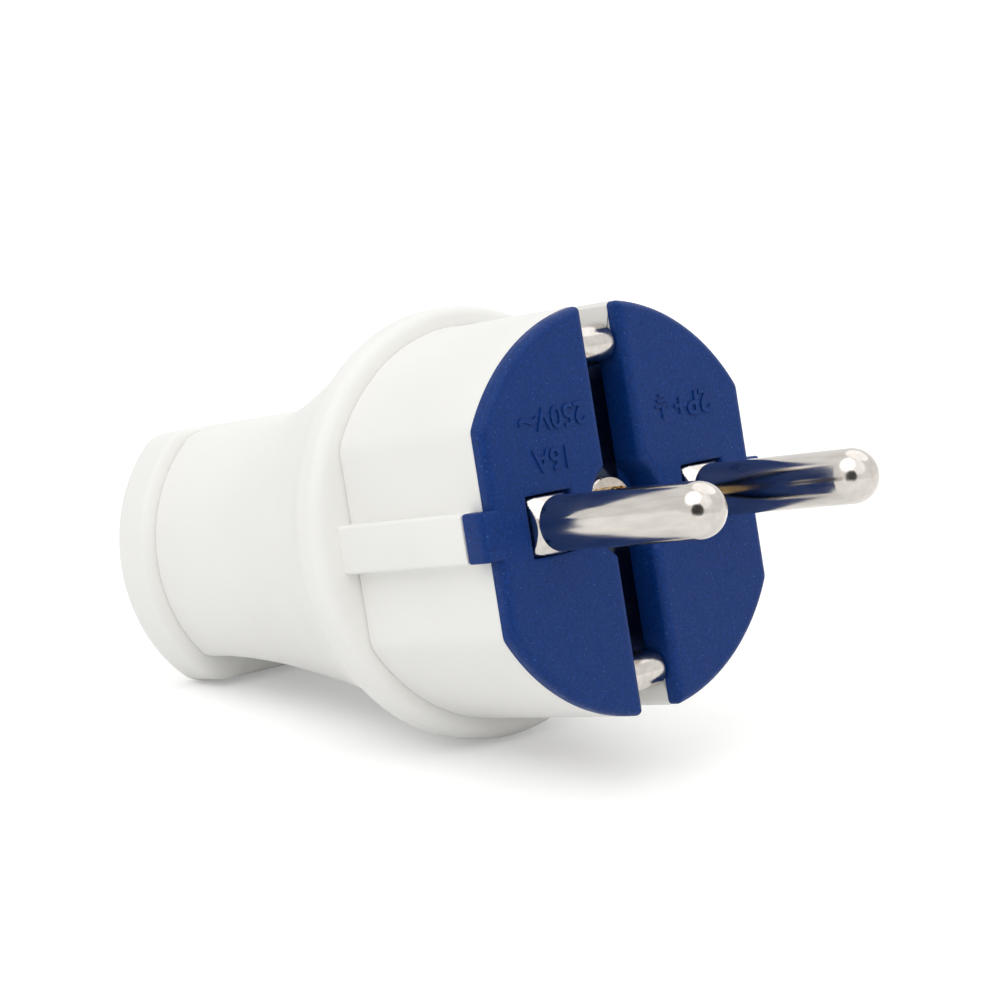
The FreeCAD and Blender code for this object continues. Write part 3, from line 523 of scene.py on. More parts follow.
def side_rib(sizes, tab, turn):
    """A guide rib on one flat: a rounded bar from behind the insert's tab into the collar.

    The turn is 1 or -1 for the side it is on.
    """
    edge = sizes.rib_edge
    half, out, low = sizes.rib_half, sizes.rib_reach, sizes.skirt_flat - sizes.rib_foot
    corner = arc((out - edge, half - edge), edge, 0, 90, 5)
    section = np.concatenate([[(low, -half)], corner[::-1] * (1, -1), corner, [(low, half)]])
    rings = []
    for depth, inset in ((tab, edge), (tab + edge * 0.3, edge * 0.3), (tab + edge, 0.0),
                         (sizes.skirt_depth + sizes.rib_hold, 0.0)):
        shrunk = section - (inset, 0) * (section[:, :1] > low + edge)
        shrunk[:, 1] = np.clip(shrunk[:, 1], -half + inset, half - inset)
        rings.append(np.stack([np.full(len(section), -depth), turn * shrunk[:, 0], shrunk[:, 1]], axis=-1))
    return np.array(rings)


class PLUG_OT_housing(bpy.types.Operator):
    """Make the white housing with its ribs"""
    bl_idname = "plug.housing"
    bl_label = "Housing"

    def execute(self, context):
        sizes, insert = context.scene.plug_housing, context.scene.plug_insert
        shell = Shell()
        shell.add_rings(housing_rings(sizes), wrap_rows=True)
        for turn in (1.0, -1.0):
            shell.add_rings(side_rib(sizes, insert.tab_depth + insert.clearance, turn))
        made = shell.build("housing_shell", "white_moulding")
        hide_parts("housing")
        return {"FINISHED"}


# Blue insert

# Roundings of a tab's inner corner and of its two outer corners at the back and at the face
TAB_ROUNDS = (0.1 * MM, 0.15 * MM, 0.7 * MM)


def smooth_corners(corners, radii, count=6):
    """A closed outline through the corners, each rounded by its own radius.

    A corner's arc starts and ends where the circle of that radius touches both sides.
    """
    made = []
    total = len(corners)
    for index in range(total):
        here = np.array(corners[index], dtype=float)
        before = np.array(corners[index - 1], dtype=float) - here
        after = np.array(corners[(index + 1) % total], dtype=float) - here
        radius = radii[index]
        if radius <= 0:
            made.append(here[None, :])
            continue
        before /= np.linalg.norm(before)
        after /= np.linalg.norm(after)
        half = math.acos(np.clip(before @ after, -1, 1)) / 2
        middle = (before + after) / np.linalg.norm(before + after)
        centre = here + middle * radius / math.sin(half)
        start = here + before * radius / math.tan(half) - centre
        end = here + after * radius / math.tan(half) - centre
        first = math.atan2(start[1], start[0])
        sweep = (math.atan2(end[1], end[0]) - first + math.pi) % (2 * math.pi) - math.pi
        turn = first + sweep * np.linspace(0, 1, count)
        made.append(centre + radius * np.stack([np.cos(turn), np.sin(turn)], axis=1))
    return np.concatenate(made)


def inward(outline, distance):
    """The outline moved inwards along its normals. It runs anticlockwise."""
    ahead = np.roll(outline, -1, axis=0) - outline
    behind = outline - np.roll(outline, 1, axis=0)
    along = ahead / np.linalg.norm(ahead, axis=1)[:, None]
    along = along + behind / np.linalg.norm(behind, axis=1)[:, None]
    along /= np.linalg.norm(along, axis=1)[:, None]
    return outline + distance * np.stack([-along[:, 1], along[:, 0]], axis=1)


def rounded_prism(outline, low, high, edge, order):
    """Rings of a straight piece with rounded ends.

    The outline is carried from low to high along the third axis, and near each end it shrinks along
    a quarter circle. The order says which of X, Y and Z the outline's two axes and the third are.
    """
    turn = np.radians(np.linspace(0, 90, 4))
    inset = edge * (1 - np.sin(turn))
    shift = edge * (1 - np.cos(turn))
    places = np.concatenate([low + shift, (high - shift)[::-1]])
    insets = np.concatenate([inset, inset[::-1]])
    rings = np.zeros((len(places), len(outline), 3))
    for index, (place, distance) in enumerate(zip(places, insets)):
        rings[index][:, order[:2]] = inward(outline, distance)
        rings[index][:, order[2]] = place
    return rings


def rounded_bar(low, high, corner, edge, order):
    """A bar between two corners of a box, its four long edges and its ends rounded."""
    (u0, v0, w0), (u1, v1, w1) = (np.array(point)[list(order)] for point in (low, high))
    outline = smooth_corners([(u0, v0), (u1, v0), (u1, v1), (u0, v1)], [corner] * 4)
    return rounded_prism(outline, w0, w1, edge, list(order))


def lobe_outline(radius, flat, sizes, inset=0.0):
    """One lobe of the face, inset evenly by a distance, anticlockwise.

    Its sides are the slot's wall, an arc of the skirt's circle, the side flat and the bite of the
    round recess, and each corner is an arc that touches both its sides.
    """
    slot, bite = sizes.slot_half + inset, sizes.recess + inset
    radius, flat = radius - inset, flat - inset
    corner, side = max(sizes.slot_corner - inset, TINY), max(sizes.flat_corner - inset, TINY)
    slot_z = math.sqrt((radius - corner) ** 2 - (slot + corner) ** 2)
    flat_z = math.sqrt((radius - side) ** 2 - (flat - side) ** 2)
    bite_z = math.sqrt((bite + corner) ** 2 - (slot + corner) ** 2)
    to_slot = math.degrees(math.atan2(slot_z, slot + corner))
    to_flat = math.degrees(math.atan2(flat_z, flat - side))
    to_bite = math.degrees(math.atan2(bite_z, slot + corner))
    wall = np.linspace(0, 1, 16)[:, None]
    upper = np.array([slot, slot_z])
    lower = np.array([slot, bite_z])
    edge = np.linspace(-flat_z, flat_z, 18)
    parts = [
        arc((slot + corner, -slot_z), corner, -180, -to_slot, 7),
        arc((0, 0), radius, -to_slot, -to_flat, 22),
        arc((flat - side, -flat_z), side, -to_flat, 0, 7),
        np.stack([np.full_like(edge, flat), edge], axis=1),
        arc((flat - side, flat_z), side, 0, to_flat, 7),
        arc((0, 0), radius, to_flat, to_slot, 22),
        arc((slot + corner, slot_z), corner, to_slot, 180, 7),
        upper + (lower - upper) * wall,
        arc((slot + corner, bite_z), corner, 180, 180 + to_bite, 7),
        arc((0, 0), bite, to_bite, -to_bite, 14),
        arc((slot + corner, -bite_z), corner, 180 - to_bite, 180, 7),
        (lower + (upper - lower) * wall) * (1, -1)]
    return np.concatenate([part[:-1] for part in parts])


def window_outline(half, corner, middle, outline):
    """A square about a pin's middle, with a point at the same angle as each point of the outline."""
    angles = np.arctan2(outline[:, 1], outline[:, 0] - middle)
    reach = soft_min(half / divisor(np.cos(angles)), half / divisor(np.sin(angles)), corner)
    return np.stack([middle + reach * np.cos(angles), reach * np.sin(angles)], axis=1)


def lobe_rings(housing, sizes, turn):
    """One lobe as a closed run of rings: up its window, over the face, down its side and back under.

    Behind the flange it steps in to fit the skirt, and the turn is 1 or -1 for the side it is on.
    """
    radius, flat = housing.skirt_radius, housing.skirt_flat
    shrink = housing.wall + sizes.clearance
    middle = PIN_SPACING / 2
    base = lobe_outline(radius, flat, sizes)
    edge = sizes.window_edge
    rows = []
    for depth, wider in ((sizes.body_back, 0.0), (edge, 0.0), (edge * 0.3, edge * 0.3), (0.0, edge),
                         (0.0, 2 * edge)):
        rows.append((depth, window_outline(sizes.window_half + wider, sizes.window_corner, middle, base)))
    rows.append((0.0, lobe_outline(radius, flat, sizes, sizes.face_round + 4 * TINY)))
    for angle in np.radians(np.linspace(0, 90, 8)):
        inset = sizes.face_round * (1 - math.sin(angle))
        rows.append((sizes.face_round * (1 - math.cos(angle)), lobe_outline(radius, flat, sizes, inset)))
    rows.append((housing.flange, base))
    inner = lobe_outline(radius - shrink, flat - shrink, sizes)
    rows.append((housing.flange, inner))
    rows.append((sizes.body_back, inner))
    return np.array([np.column_stack([np.full(len(ring), -depth), turn * ring[:, 0], ring[:, 1]])
                     for depth, ring in rows])


def middle_rings(housing, sizes):
    """The floor of the slot and of the recess: a bar with a round middle and a screw hole.

    Its radius at each angle is the larger of the bar's and the disc's.
    """
    angles = np.linspace(0, 2 * math.pi, 160, endpoint=False)
    beside = (sizes.slot_half + SINK) / divisor(np.cos(angles))
    above = housing.groove_floor / divisor(np.sin(angles))
    around = np.maximum(np.minimum(beside, above), sizes.recess + SINK)
    opening = np.full_like(angles, sizes.screw_hole)
    places = [-sizes.body_back, -sizes.slot_depth, -sizes.slot_depth, -sizes.body_back]
    return axis_rings(places, np.array([opening, opening, around, around]), angles)


def tab_rings(housing, sizes, turn):
    """A tab over one guide rib: a rounded slab from the face to the rib's end, hooked over the skirt."""
    root = housing.skirt_flat - sizes.face_round - sizes.tab_root
    step = housing.skirt_flat + sizes.clearance
    reach, rib, end = housing.rib_reach, housing.rib_half, -sizes.tab_depth
    outline = smooth_corners(
        [(-TINY, root), (-housing.flange, root), (-housing.flange, step), (end, step), (end, reach),
         (-TINY, reach)], [0.0, 0.0, 0.0, *TAB_ROUNDS])[::-1]
    return rounded_prism(outline, -rib, rib, sizes.edge, [0, 1, 2]) * (1, turn, 1)


def barrier_rings(sizes, turn):
    """A wall between one pin's terminal and the middle."""
    middle, half = turn * sizes.barrier, sizes.barrier_thick / 2
    return rounded_bar((-sizes.barrier_back, middle - half, -sizes.barrier_half),
                       (-sizes.body_back + 2 * SINK, middle + half, sizes.barrier_half),
                       sizes.barrier_round, sizes.barrier_round, (1, 2, 0))


def post_rings(sizes, turn):
    """A post of the cord clamp, on the tongue."""
    middle, half = turn * sizes.post_offset, sizes.post_half
    return rounded_bar((-sizes.tongue_back, middle - half, -sizes.tongue_top - 2 * SINK),
                       (-sizes.post_front, middle + half, -sizes.post_top),
                       sizes.post_round, sizes.edge, (0, 1, 2))


def tongue_rings(sizes):
    """The tongue that carries the cord clamp: a plate that grows wide behind its neck."""
    wide, narrow = sizes.tongue_half, sizes.barrier
    front, neck, back = -sizes.body_back + 2 * SINK, -sizes.tongue_neck, -sizes.tongue_back
    outer, inner = sizes.tongue_round, sizes.neck_round
    outline = smooth_corners(
        [(front, -narrow), (front, narrow), (neck, narrow), (neck, wide), (back, wide), (back, -wide),
         (neck, -wide), (neck, -narrow)], [0.0, 0.0, inner, outer, outer, outer, outer, inner])
    top = -sizes.tongue_top
    return rounded_prism(outline, top - sizes.tongue_thick, top, sizes.edge, [0, 1, 2])


class PLUG_OT_insert(bpy.types.Operator):
    """Make the blue insert: its two lobes, slot floor, tabs, barriers, tongue and clamp posts"""
    bl_idname = "plug.insert"
    bl_label = "Insert"

    def execute(self, context):
        housing = context.scene.plug_housing
        sizes = context.scene.plug_insert
        shell = Shell()
        for turn in (1.0, -1.0):
            shell.add_rings(lobe_rings(housing, sizes, turn), wrap_rows=True)
            shell.add_rings(tab_rings(housing, sizes, turn))
            shell.add_rings(barrier_rings(sizes, turn))
            shell.add_rings(post_rings(sizes, turn))
        shell.add_rings(middle_rings(housing, sizes), wrap_rows=True)
        shell.add_rings(tongue_rings(sizes))
        made = shell.build("insert_moulding", "blue_moulding")
        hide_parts("pin_carrier")
        return {"FINISHED"}


# Ratings on the face: each one's text, letter size, and place across and up the face in millimetres

RATINGS = (("250V", 2.75, -6.7, 9.0), ("~", 3.8, -10.6, 8.8),
           ("16A", 2.75, -8.3, 5.5), ("2P+", 3.0, 9.4, 8.1))

# The earth sign's place across and up the face, its bars' lower and upper ends and half widths in
# millimetres, and the rounding of their corners and of their ends
EARTH_PLACE = (5.6 * MM, 8.2 * MM)
EARTH_BARS = ((0.0, 1.2, 0.14), (-0.1, 0.16, 0.85), (-0.58, -0.34, 0.6), (-1.04, -0.8, 0.32))
EARTH_ROUND, EARTH_EDGE = 0.04 * MM, 0.02 * MM


def mark_points(text, size, height, weight):
    """A word as points and faces of a raised mesh, centred, lying in its own XY plane."""
    curve = bpy.data.curves.new("mark", "FONT")
    curve.body = text
    curve.size = size
    curve.extrude = height / 2
    curve.offset = weight
    curve.resolution_u = 4
    curve.align_x = "CENTER"
    curve.align_y = "CENTER"
    word = bpy.data.objects.new("mark", curve)
    bpy.context.scene.collection.objects.link(word)
    bpy.context.view_layer.update()
    mesh = bpy.data.meshes.new_from_object(word)
    points = np.zeros(len(mesh.vertices) * 3)
    mesh.vertices.foreach_get("co", points)
    faces = [list(face.vertices) for face in mesh.polygons]
    bpy.data.objects.remove(word)
    bpy.data.curves.remove(curve)
    bpy.data.meshes.remove(mesh)
    return points.reshape(-1, 3), faces


def earth_bar(sizes, low, high, width):
    """One bar of the earth sign, turned upside down like the words."""
    across, up = EARTH_PLACE
    half, wide = sizes.mark_height / 2, width * MM
    return rounded_bar((-half, across - wide, up - high * MM), (half, across + wide, up - low * MM),
                       EARTH_ROUND, EARTH_EDGE, (1, 2, 0))


class PLUG_OT_marks(bpy.types.Operator):
    """Raise the electrical ratings on the face, upside down as they are moulded"""
    bl_idname = "plug.marks"
    bl_label = "Ratings"

    def execute(self, context):
        sizes = context.scene.plug_insert
        shell = Shell()
        for text, size, across, up in RATINGS:
            points, faces = mark_points(text, size * MM, sizes.mark_height, sizes.mark_weight)
            shell.add(np.column_stack(
                [points[:, 2], across * MM - points[:, 0], up * MM - points[:, 1]]), faces)
        for low, high, width in EARTH_BARS:
            shell.add_rings(earth_bar(sizes, low, high, width))
        made = shell.build("rating_marks", "blue_moulding")
        return {"FINISHED"}


# Metal pieces

# How far below the contact's height the strip starts to take its painted shade, in hook radii
PAINTED_SHADE_START = 2.3


def pin_rings(sizes, body_back):
    """One pin on its own axis: round tip and shank, square base with turned corners, terminal block.

    Round the base the radius is the smaller of the square's and of a cone that starts at the shank.
    """
    angles = np.linspace(0, 2 * math.pi, 96, endpoint=False)
    square = 1.0 / np.maximum(np.abs(np.cos(angles)), np.abs(np.sin(angles)))
    base = np.minimum(sizes.base_half * square, sizes.base_corner)
    block = np.minimum(sizes.block_half * square, sizes.block_corner)
    rows = []
    tip = sizes.reach - sizes.tip_round
    for x, out in arc((tip, PIN_RADIUS - sizes.tip_round), sizes.tip_round, 3, 90, 16):
        rows.append((x, np.full_like(angles, out)))
    for x in np.linspace(tip, PIN_BASE_PROUD, 12)[1:]:
        rows.append((x, np.full_like(angles, PIN_RADIUS)))
    for x in np.linspace(PIN_BASE_PROUD, PIN_BASE_PROUD - sizes.base_depth, 18)[1:]:
        cone = PIN_RADIUS + (PIN_BASE_PROUD - x) / sizes.base_slope
        rows.append((x, np.maximum(PIN_RADIUS, np.minimum(base, cone))))
    edge = sizes.block_edge
    end = -body_back - sizes.block_length
    rows += [(-body_back, base), (-body_back, block - edge), (-body_back - edge, block),
             (end + edge, block), (end, block - edge), (end, np.full_like(angles, sizes.wire_bore + edge)),
             (end + edge, np.full_like(angles, sizes.wire_bore)),
             (end + sizes.wire_depth, np.full_like(angles, sizes.wire_bore))]
    return axis_rings([row[0] for row in rows], np.array([row[1] for row in rows]), angles)


class PLUG_OT_pins(bpy.types.Operator):
    """Make the two nickel-plated pins"""
    bl_idname = "plug.pins"
    bl_label = "Pins"

    def execute(self, context):
        sizes = context.scene.plug_pins
        back = context.scene.plug_insert.body_back
        for node, side in (("pin_left", 1.0), ("pin_right", -1.0)):
            shell = Shell()
            shell.add_rings(pin_rings(sizes, back) + (0, side * PIN_SPACING / 2, 0))
            made = shell.build(node + "_turned", "nickel_plate", sharp=28.0)
            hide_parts(node)
        return {"FINISHED"}


def strip_path(sizes, slot_depth):
    """The middle line of the earth strip in the XZ plane, from one contact's end to the other's."""
    strap = -(slot_depth - sizes.thick / 2)
    leg = sizes.contact - sizes.thick / 2
    hook = sizes.hook_round
    hook_x = -(sizes.hook_front + sizes.thick / 2 + hook)
    elbow = hook_x - strap
    low = leg - 2 * hook
    side = np.array([(x, leg) for x in np.linspace(-sizes.contact_back, hook_x, 12)])
    bend = arc((hook_x, leg - hook), hook, 90, -90, 24)
    inner = arc((hook_x, low - elbow), elbow, 90, 180, 10)
    half = np.concatenate([side[:-1], bend[:-1], inner])
    strap_line = np.array([(strap, z) for z in np.linspace(low - elbow, -(low - elbow), 24)])
    return np.concatenate([half[:-1], strap_line[:-1], half[::-1] * (1, -1)])


def strip_rings(sizes, slot_depth):
    """The strip's rounded section carried along its middle line, square to it at each point."""
    path = strip_path(sizes, slot_depth)
    along = np.gradient(path, axis=0)
    along /= np.linalg.norm(along, axis=1)[:, None]
    normal = np.stack([-along[:, 1], along[:, 0]], axis=1)
    half, thin = sizes.half_width, sizes.thick / 2
    section = smooth_corners([(-half, -thin), (half, -thin), (half, thin), (-half, thin)], [sizes.edge] * 4)
    rings = np.zeros((len(path), len(section), 3))
    rings[:, :, 0] = path[:, :1] + normal[:, :1] * section[:, 1]
    rings[:, :, 1] = section[:, 0]
    rings[:, :, 2] = path[:, 1:] + normal[:, 1:] * section[:, 1]
    return rings


def turned_rings(profile, count=64):
    """A profile of (x, radius) points turned about the plug's axis."""
    profile = np.array(profile, dtype=float)
    angles = np.linspace(0, 2 * math.pi, count, endpoint=False)
    return axis_rings(profile[:, 0], np.repeat(profile[:, 1:], count, axis=1), angles)


def strip_painted_shade(sizes, rings):
    """How much painted shade each point of the strip takes: nought at the hooks, and one deep in the slot,
    where the strip lies in shade.

    It grows over one hook radius, from PAINTED_SHADE_START hook radii below the contact's height.
    """
    start = sizes.contact - PAINTED_SHADE_START * sizes.hook_round
    return np.clip((start - np.abs(rings[:, :, 2])) / sizes.hook_round, 0.0, 1.0)


class PLUG_OT_strip(bpy.types.Operator):
    """Make the nickel-plated earth strip with its hooks and side contacts"""
    bl_idname = "plug.strip"
    bl_label = "Earth strip"

    def execute(self, context):
        sizes = context.scene.plug_strip
        rings = strip_rings(sizes, context.scene.plug_insert.slot_depth)
        shell = Shell()
        shell.add_rings(rings)
        made = shell.build("earth_strip_formed", "strip_plate")
        # Painted shade: a weight on each point that darkens the strip deep in the slot, where it lies in
        # shade
        painted_shade = made.data.attributes.new("painted_shade", "FLOAT", "POINT")
        painted_shade.data.foreach_set("value", strip_painted_shade(sizes, rings).ravel().astype(np.float32))
        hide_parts("earth_strip")
        return {"FINISHED"}


class PLUG_OT_face_screw(bpy.types.Operator):
    """Make the slotted brass screw and the nickel-plated washer in the recess of the face"""
    bl_idname = "plug.face_screw"
    bl_label = "Face screw"

    def execute(self, context):
        sizes = context.scene.plug_strip
        seat = -(context.scene.plug_insert.slot_depth - sizes.thick)
        top = seat + sizes.washer_thick
        edge = sizes.turned_edge
        washer = Shell()
        washer.add_rings(turned_rings([
            (seat, sizes.shank), (seat, sizes.washer - edge), (seat + edge, sizes.washer),
            (top - edge, sizes.washer), (top, sizes.washer - edge), (top, sizes.shank + HAIR)]),
            wrap_rows=True)
        made = washer.build("face_washer", "nickel_plate")
        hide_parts("assembly_washer")

        screw = Shell()
        crown, head, drive = top + sizes.head_height, sizes.screw_head, sizes.drive_half
        floor = crown - sizes.drive_depth
        end, tip = -sizes.screw_end, sizes.shank - sizes.end_fall
        screw.add_rings(turned_rings([
            (floor, SINK), (floor, head), (top + edge, head), (top, head - edge), (top, sizes.shank),
            (end + sizes.end_run, sizes.shank), (end, tip), (end, SINK)]))
        reach = math.degrees(math.acos(drive / head))
        half = np.concatenate([arc((0, 0), head, -reach, reach, 28), [(drive, 0.0)]])
        # The first three rings, which would round each half's lower end, are left out, so each half stands
        # off the disc below it by the depth of that rounding, less a hair
        rings = rounded_prism(half, floor - HAIR, crown, sizes.head_round, [1, 2, 0])[3:]
        for turn in (1.0, -1.0):
            screw.add_rings(rings * (1, turn, 1))
        made = screw.build("face_screw", "bare_brass")
        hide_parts("assembly_screw")
        return {"FINISHED"}


INNER_FINISHES = {
    "threaded_bush": "bare_brass", "earth_screw": "bare_brass", "earth_washer": "bare_brass",
    "terminal_screw_left": "zinc_steel", "terminal_screw_right": "zinc_steel",
    "clamp_screw_left": "zinc_steel", "clamp_screw_right": "zinc_steel",
    "clamp_nut_left": "zinc_steel", "clamp_nut_right": "zinc_steel",
    "cord_saddle": "blue_moulding",
}


class PLUG_OT_fasteners(bpy.types.Operator):
    """Give the inner screws, nuts, bush, washer and saddle their finishes"""
    bl_idname = "plug.fasteners"
    bl_label = "Fasteners"

    def execute(self, context):
        for node, finish in INNER_FINISHES.items():
            mesh = frame["nodes"][node].data
            mesh.materials.clear()
            mesh.materials.append(finish_for(finish))
        return {"FINISHED"}


# Finishes

# The spans of a noise over which roughness and tint change, the width of a speck's edge, the sockets of
# a Mix node that hold its two colours and their mix, and the tones of specks and of the painted shade on the
# strip
ROUGH_SPAN = (0.3, 0.7)
TINT_SPAN = (0.35, 0.65)
SPECK_EDGE = 0.06
MIX_UNDER, MIX_OVER, MIX_RESULT = 6, 7, 2
SPECK_TONE = (0.05, 0.12, 0.34)
# Dark painted shade laid over the strip's plating deep in the slot
PAINTED_SHADE_TONE = (0.035, 0.045, 0.07)


class Finish:
    """A material in the making: its shader, and the noises that feed the shader."""

    def __init__(self, name, tone, metallic, roughness, specular=0.5):
        self.material = bpy.data.materials.new(name)
        self.material.use_nodes = True
        self.nodes = self.material.node_tree.nodes
        self.links = self.material.node_tree.links
        self.inputs = self.nodes["Principled BSDF"].inputs
        self.tone = tone
        self.inputs["Base Color"].default_value = (*tone, 1.0)
        self.inputs["Metallic"].default_value = metallic
        self.inputs["Roughness"].default_value = roughness
        self.inputs["Specular IOR Level"].default_value = specular
        self.place = self.nodes.new("ShaderNodeTexCoord").outputs["Object"]

    def grain(self, scale, detail, stretch=(1.0, 1.0, 1.0)):
        """Noise on Object coordinates turned to the plug's own axes, its marks drawn out along them."""
        mapping = self.nodes.new("ShaderNodeMapping")
        mapping.vector_type = "TEXTURE"
        mapping.inputs["Rotation"].default_value = (0.0, -math.atan2(ALONG[2], ALONG[0]), 0.0)
        mapping.inputs["Scale"].default_value = stretch
        noise = self.nodes.new("ShaderNodeTexNoise")
        noise.inputs["Scale"].default_value = scale
        noise.inputs["Detail"].default_value = detail
        self.links.new(self.place, mapping.inputs["Vector"])
        self.links.new(mapping.outputs["Vector"], noise.inputs["Vector"])
        return noise.outputs["Fac"]

    def ranged(self, noise, start, end, low, high):
        """A number that runs from low to high while the noise runs from start to end."""
        span = self.nodes.new("ShaderNodeMapRange")
        for key, value in (("From Min", start), ("From Max", end), ("To Min", low), ("To Max", high)):
            span.inputs[key].default_value = value
        self.links.new(noise, span.inputs["Value"])
        return span.outputs["Result"]

    def roughen(self, noise, low, high):
        """Lets the roughness run from low to high with the noise."""
        self.links.new(self.ranged(noise, *ROUGH_SPAN, low, high), self.inputs["Roughness"])

    def tint(self, noise, share):
        """Lets the colour run from darker to lighter by a share of itself with the noise."""
        ramp = self.nodes.new("ShaderNodeValToRGB")
        for stop, position, part in zip(ramp.color_ramp.elements, TINT_SPAN, (1 - share, 1 + share)):
            stop.position = position
            stop.color = (*(min(1.0, value * part) for value in self.tone), 1.0)
        self.links.new(noise, ramp.inputs["Fac"])
        self.links.new(ramp.outputs["Color"], self.inputs["Base Color"])

    def overlay(self, tone, factor):
        """Lays another colour over the one that is there, as far as the factor says."""
        over = self.nodes.new("ShaderNodeMix")
        over.data_type = "RGBA"
        over.inputs[MIX_OVER].default_value = (*tone, 1.0)
        self.links.new(self.inputs["Base Color"].links[0].from_socket, over.inputs[MIX_UNDER])
        self.links.new(factor, over.inputs["Factor"])
        self.links.new(over.outputs[MIX_RESULT], self.inputs["Base Color"])

    def relief(self, noise, strength, distance):
        """Raises a fine bump from the noise."""
        bump = self.nodes.new("ShaderNodeBump")
        bump.inputs["Strength"].default_value = strength
        bump.inputs["Distance"].default_value = distance
        self.links.new(noise, bump.inputs["Height"])
        self.links.new(bump.outputs["Normal"], self.inputs["Normal"])


def rubber(name, finishes):
    """Matt white moulded rubber: faint clouding, and a fine orange-peel bump."""
    finish = Finish(name, finishes.shell, 0.0, 0.5, specular=0.3)
    finish.tint(finish.grain(90.0, 3.0), 0.012)
    finish.roughen(finish.grain(260.0, 4.0), 0.42, 0.56)
    finish.relief(finish.grain(2600.0, 5.0), 0.12, 0.04 * MM)
    return finish


def plastic(name, finishes):
    """Royal blue moulded plastic: fine spark texture with small pale specks."""
    finish = Finish(name, finishes.insert, 0.0, 0.45, specular=0.2)
    finish.tint(finish.grain(3800.0, 4.0), 0.2)
    limit = 0.7
    finish.overlay(SPECK_TONE, finish.ranged(finish.grain(5200.0, 1.0), limit, limit + SPECK_EDGE, 0.0, 1.0))
    finish.roughen(finish.grain(700.0, 4.0), 0.36, 0.54)
    finish.relief(finish.grain(4200.0, 3.0), 0.5, 0.04 * MM)
    return finish


def plating(name, finishes):
    """Polished nickel plating: drawn streaks along the metal and small soft dents."""
    finish = Finish(name, finishes.nickel, 1.0, 0.14)
    finish.roughen(finish.grain(900.0, 5.0, (5.0, 1.0, 1.0)), 0.08, 0.22)
    finish.tint(finish.grain(1600.0, 4.0, (6.0, 1.0, 1.0)), 0.07)
    finish.relief(finish.grain(4200.0, 5.0, (9.0, 1.0, 1.0)), 0.3, 0.02 * MM)
    return finish


def plating_with_painted_shade(name, finishes):
    """The nickel plating, darkened by painted shade where the strip lies deep in the slot."""
    finish = plating(name, finishes)
    # Painted shade: the strip's weight on each point lays the dark tone over the plating
    painted_shade = finish.nodes.new("ShaderNodeAttribute")
    painted_shade.attribute_name = "painted_shade"
    finish.overlay(PAINTED_SHADE_TONE, painted_shade.outputs["Fac"])
    return finish


def brass(name, finishes):
    """Bare turned brass: fine tool marks and slight tarnish."""
    finish = Finish(name, finishes.brass, 1.0, 0.25)
    finish.tint(finish.grain(420.0, 4.0), 0.12)
    finish.roughen(finish.grain(800.0, 4.0), 0.18, 0.36)
    finish.relief(finish.grain(2400.0, 3.0, (1.0, 3.0, 1.0)), 0.25, 0.02 * MM)
    return finish


def steel(name, finishes):
    """Zinc-plated steel: grey with a faint grain."""
    finish = Finish(name, finishes.steel, 1.0, 0.35)
    finish.tint(finish.grain(500.0, 4.0), 0.08)
    finish.roughen(finish.grain(900.0, 4.0), 0.28, 0.45)
    finish.relief(finish.grain(3000.0, 3.0), 0.2, 0.02 * MM)
    return finish


FINISH_MAKERS = {
    "white_moulding": rubber, "blue_moulding": plastic, "nickel_plate": plating,
    "strip_plate": plating_with_painted_shade, "bare_brass": brass, "zinc_steel": steel,
}


def finish_for(name):
    """The named material, made when the first piece asks for it."""
    found = bpy.data.materials.get(name)
    return found or FINISH_MAKERS[name](name, bpy.context.scene.plug_finishes).material


# Stage

# Each lamp's compass turn and height in degrees, and its strength
LAMPS = {
    "key_light": (-80.0, 58.0, 0.85),
    "front_light": (-10.0, 45.0, 0.3),
    "back_light": (100.0, 60.0, 0.45),
}
LAMP_SPREAD = math.radians(60.0)
FLOOR_GLOW = 0.25
LENS_GAP = 10 * MM


def seen_directly(nodes, links):
    """One for camera, glossy and transmitted rays, and nought for the others."""
    seen = nodes.new("ShaderNodeLightPath")
    either = nodes.new("ShaderNodeMath")
    either.operation = "MAXIMUM"
    links.new(seen.outputs["Is Camera Ray"], either.inputs[0])
    links.new(seen.outputs["Is Transmission Ray"], either.inputs[1])
    both = nodes.new("ShaderNodeMath")
    both.operation = "MAXIMUM"
    links.new(either.outputs[0], both.inputs[0])
    links.new(seen.outputs["Is Glossy Ray"], both.inputs[1])
    return both.outputs[0]


def studio_world(scene):
    """White to the camera and in reflections, and a plain grey light otherwise."""
    world = bpy.data.worlds.new("studio_world")
    scene.world = world
    world.use_nodes = True
    nodes, links = world.node_tree.nodes, world.node_tree.links
    nodes.clear()
    light = nodes.new("ShaderNodeBackground")
    light.inputs["Color"].default_value = (1.0, 1.0, 0.985, 1.0)
    light.inputs["Strength"].default_value = 0.64
    white = nodes.new("ShaderNodeBackground")
    white.inputs["Color"].default_value = (1.0, 1.0, 1.0, 1.0)
    mix = nodes.new("ShaderNodeMixShader")
    links.new(seen_directly(nodes, links), mix.inputs["Fac"])
    links.new(light.outputs[0], mix.inputs[1])
    links.new(white.outputs[0], mix.inputs[2])
    links.new(mix.outputs[0], nodes.new("ShaderNodeOutputWorld").inputs["Surface"])


def add_sun(name, turn, height, strength):
    """A soft sun that shines from the given compass turn and height, in degrees."""
    data = bpy.data.lights.new(name, "SUN")
    data.energy = strength
    data.angle = LAMP_SPREAD
    lamp = bpy.data.objects.new(name, data)
    turn, height = math.radians(turn), math.radians(height)
    place = Vector((math.cos(height) * math.cos(turn), math.cos(height) * math.sin(turn), math.sin(height)))
    lamp.rotation_euler = place.to_track_quat("Z", "Y").to_euler()
    bpy.context.scene.collection.objects.link(lamp)


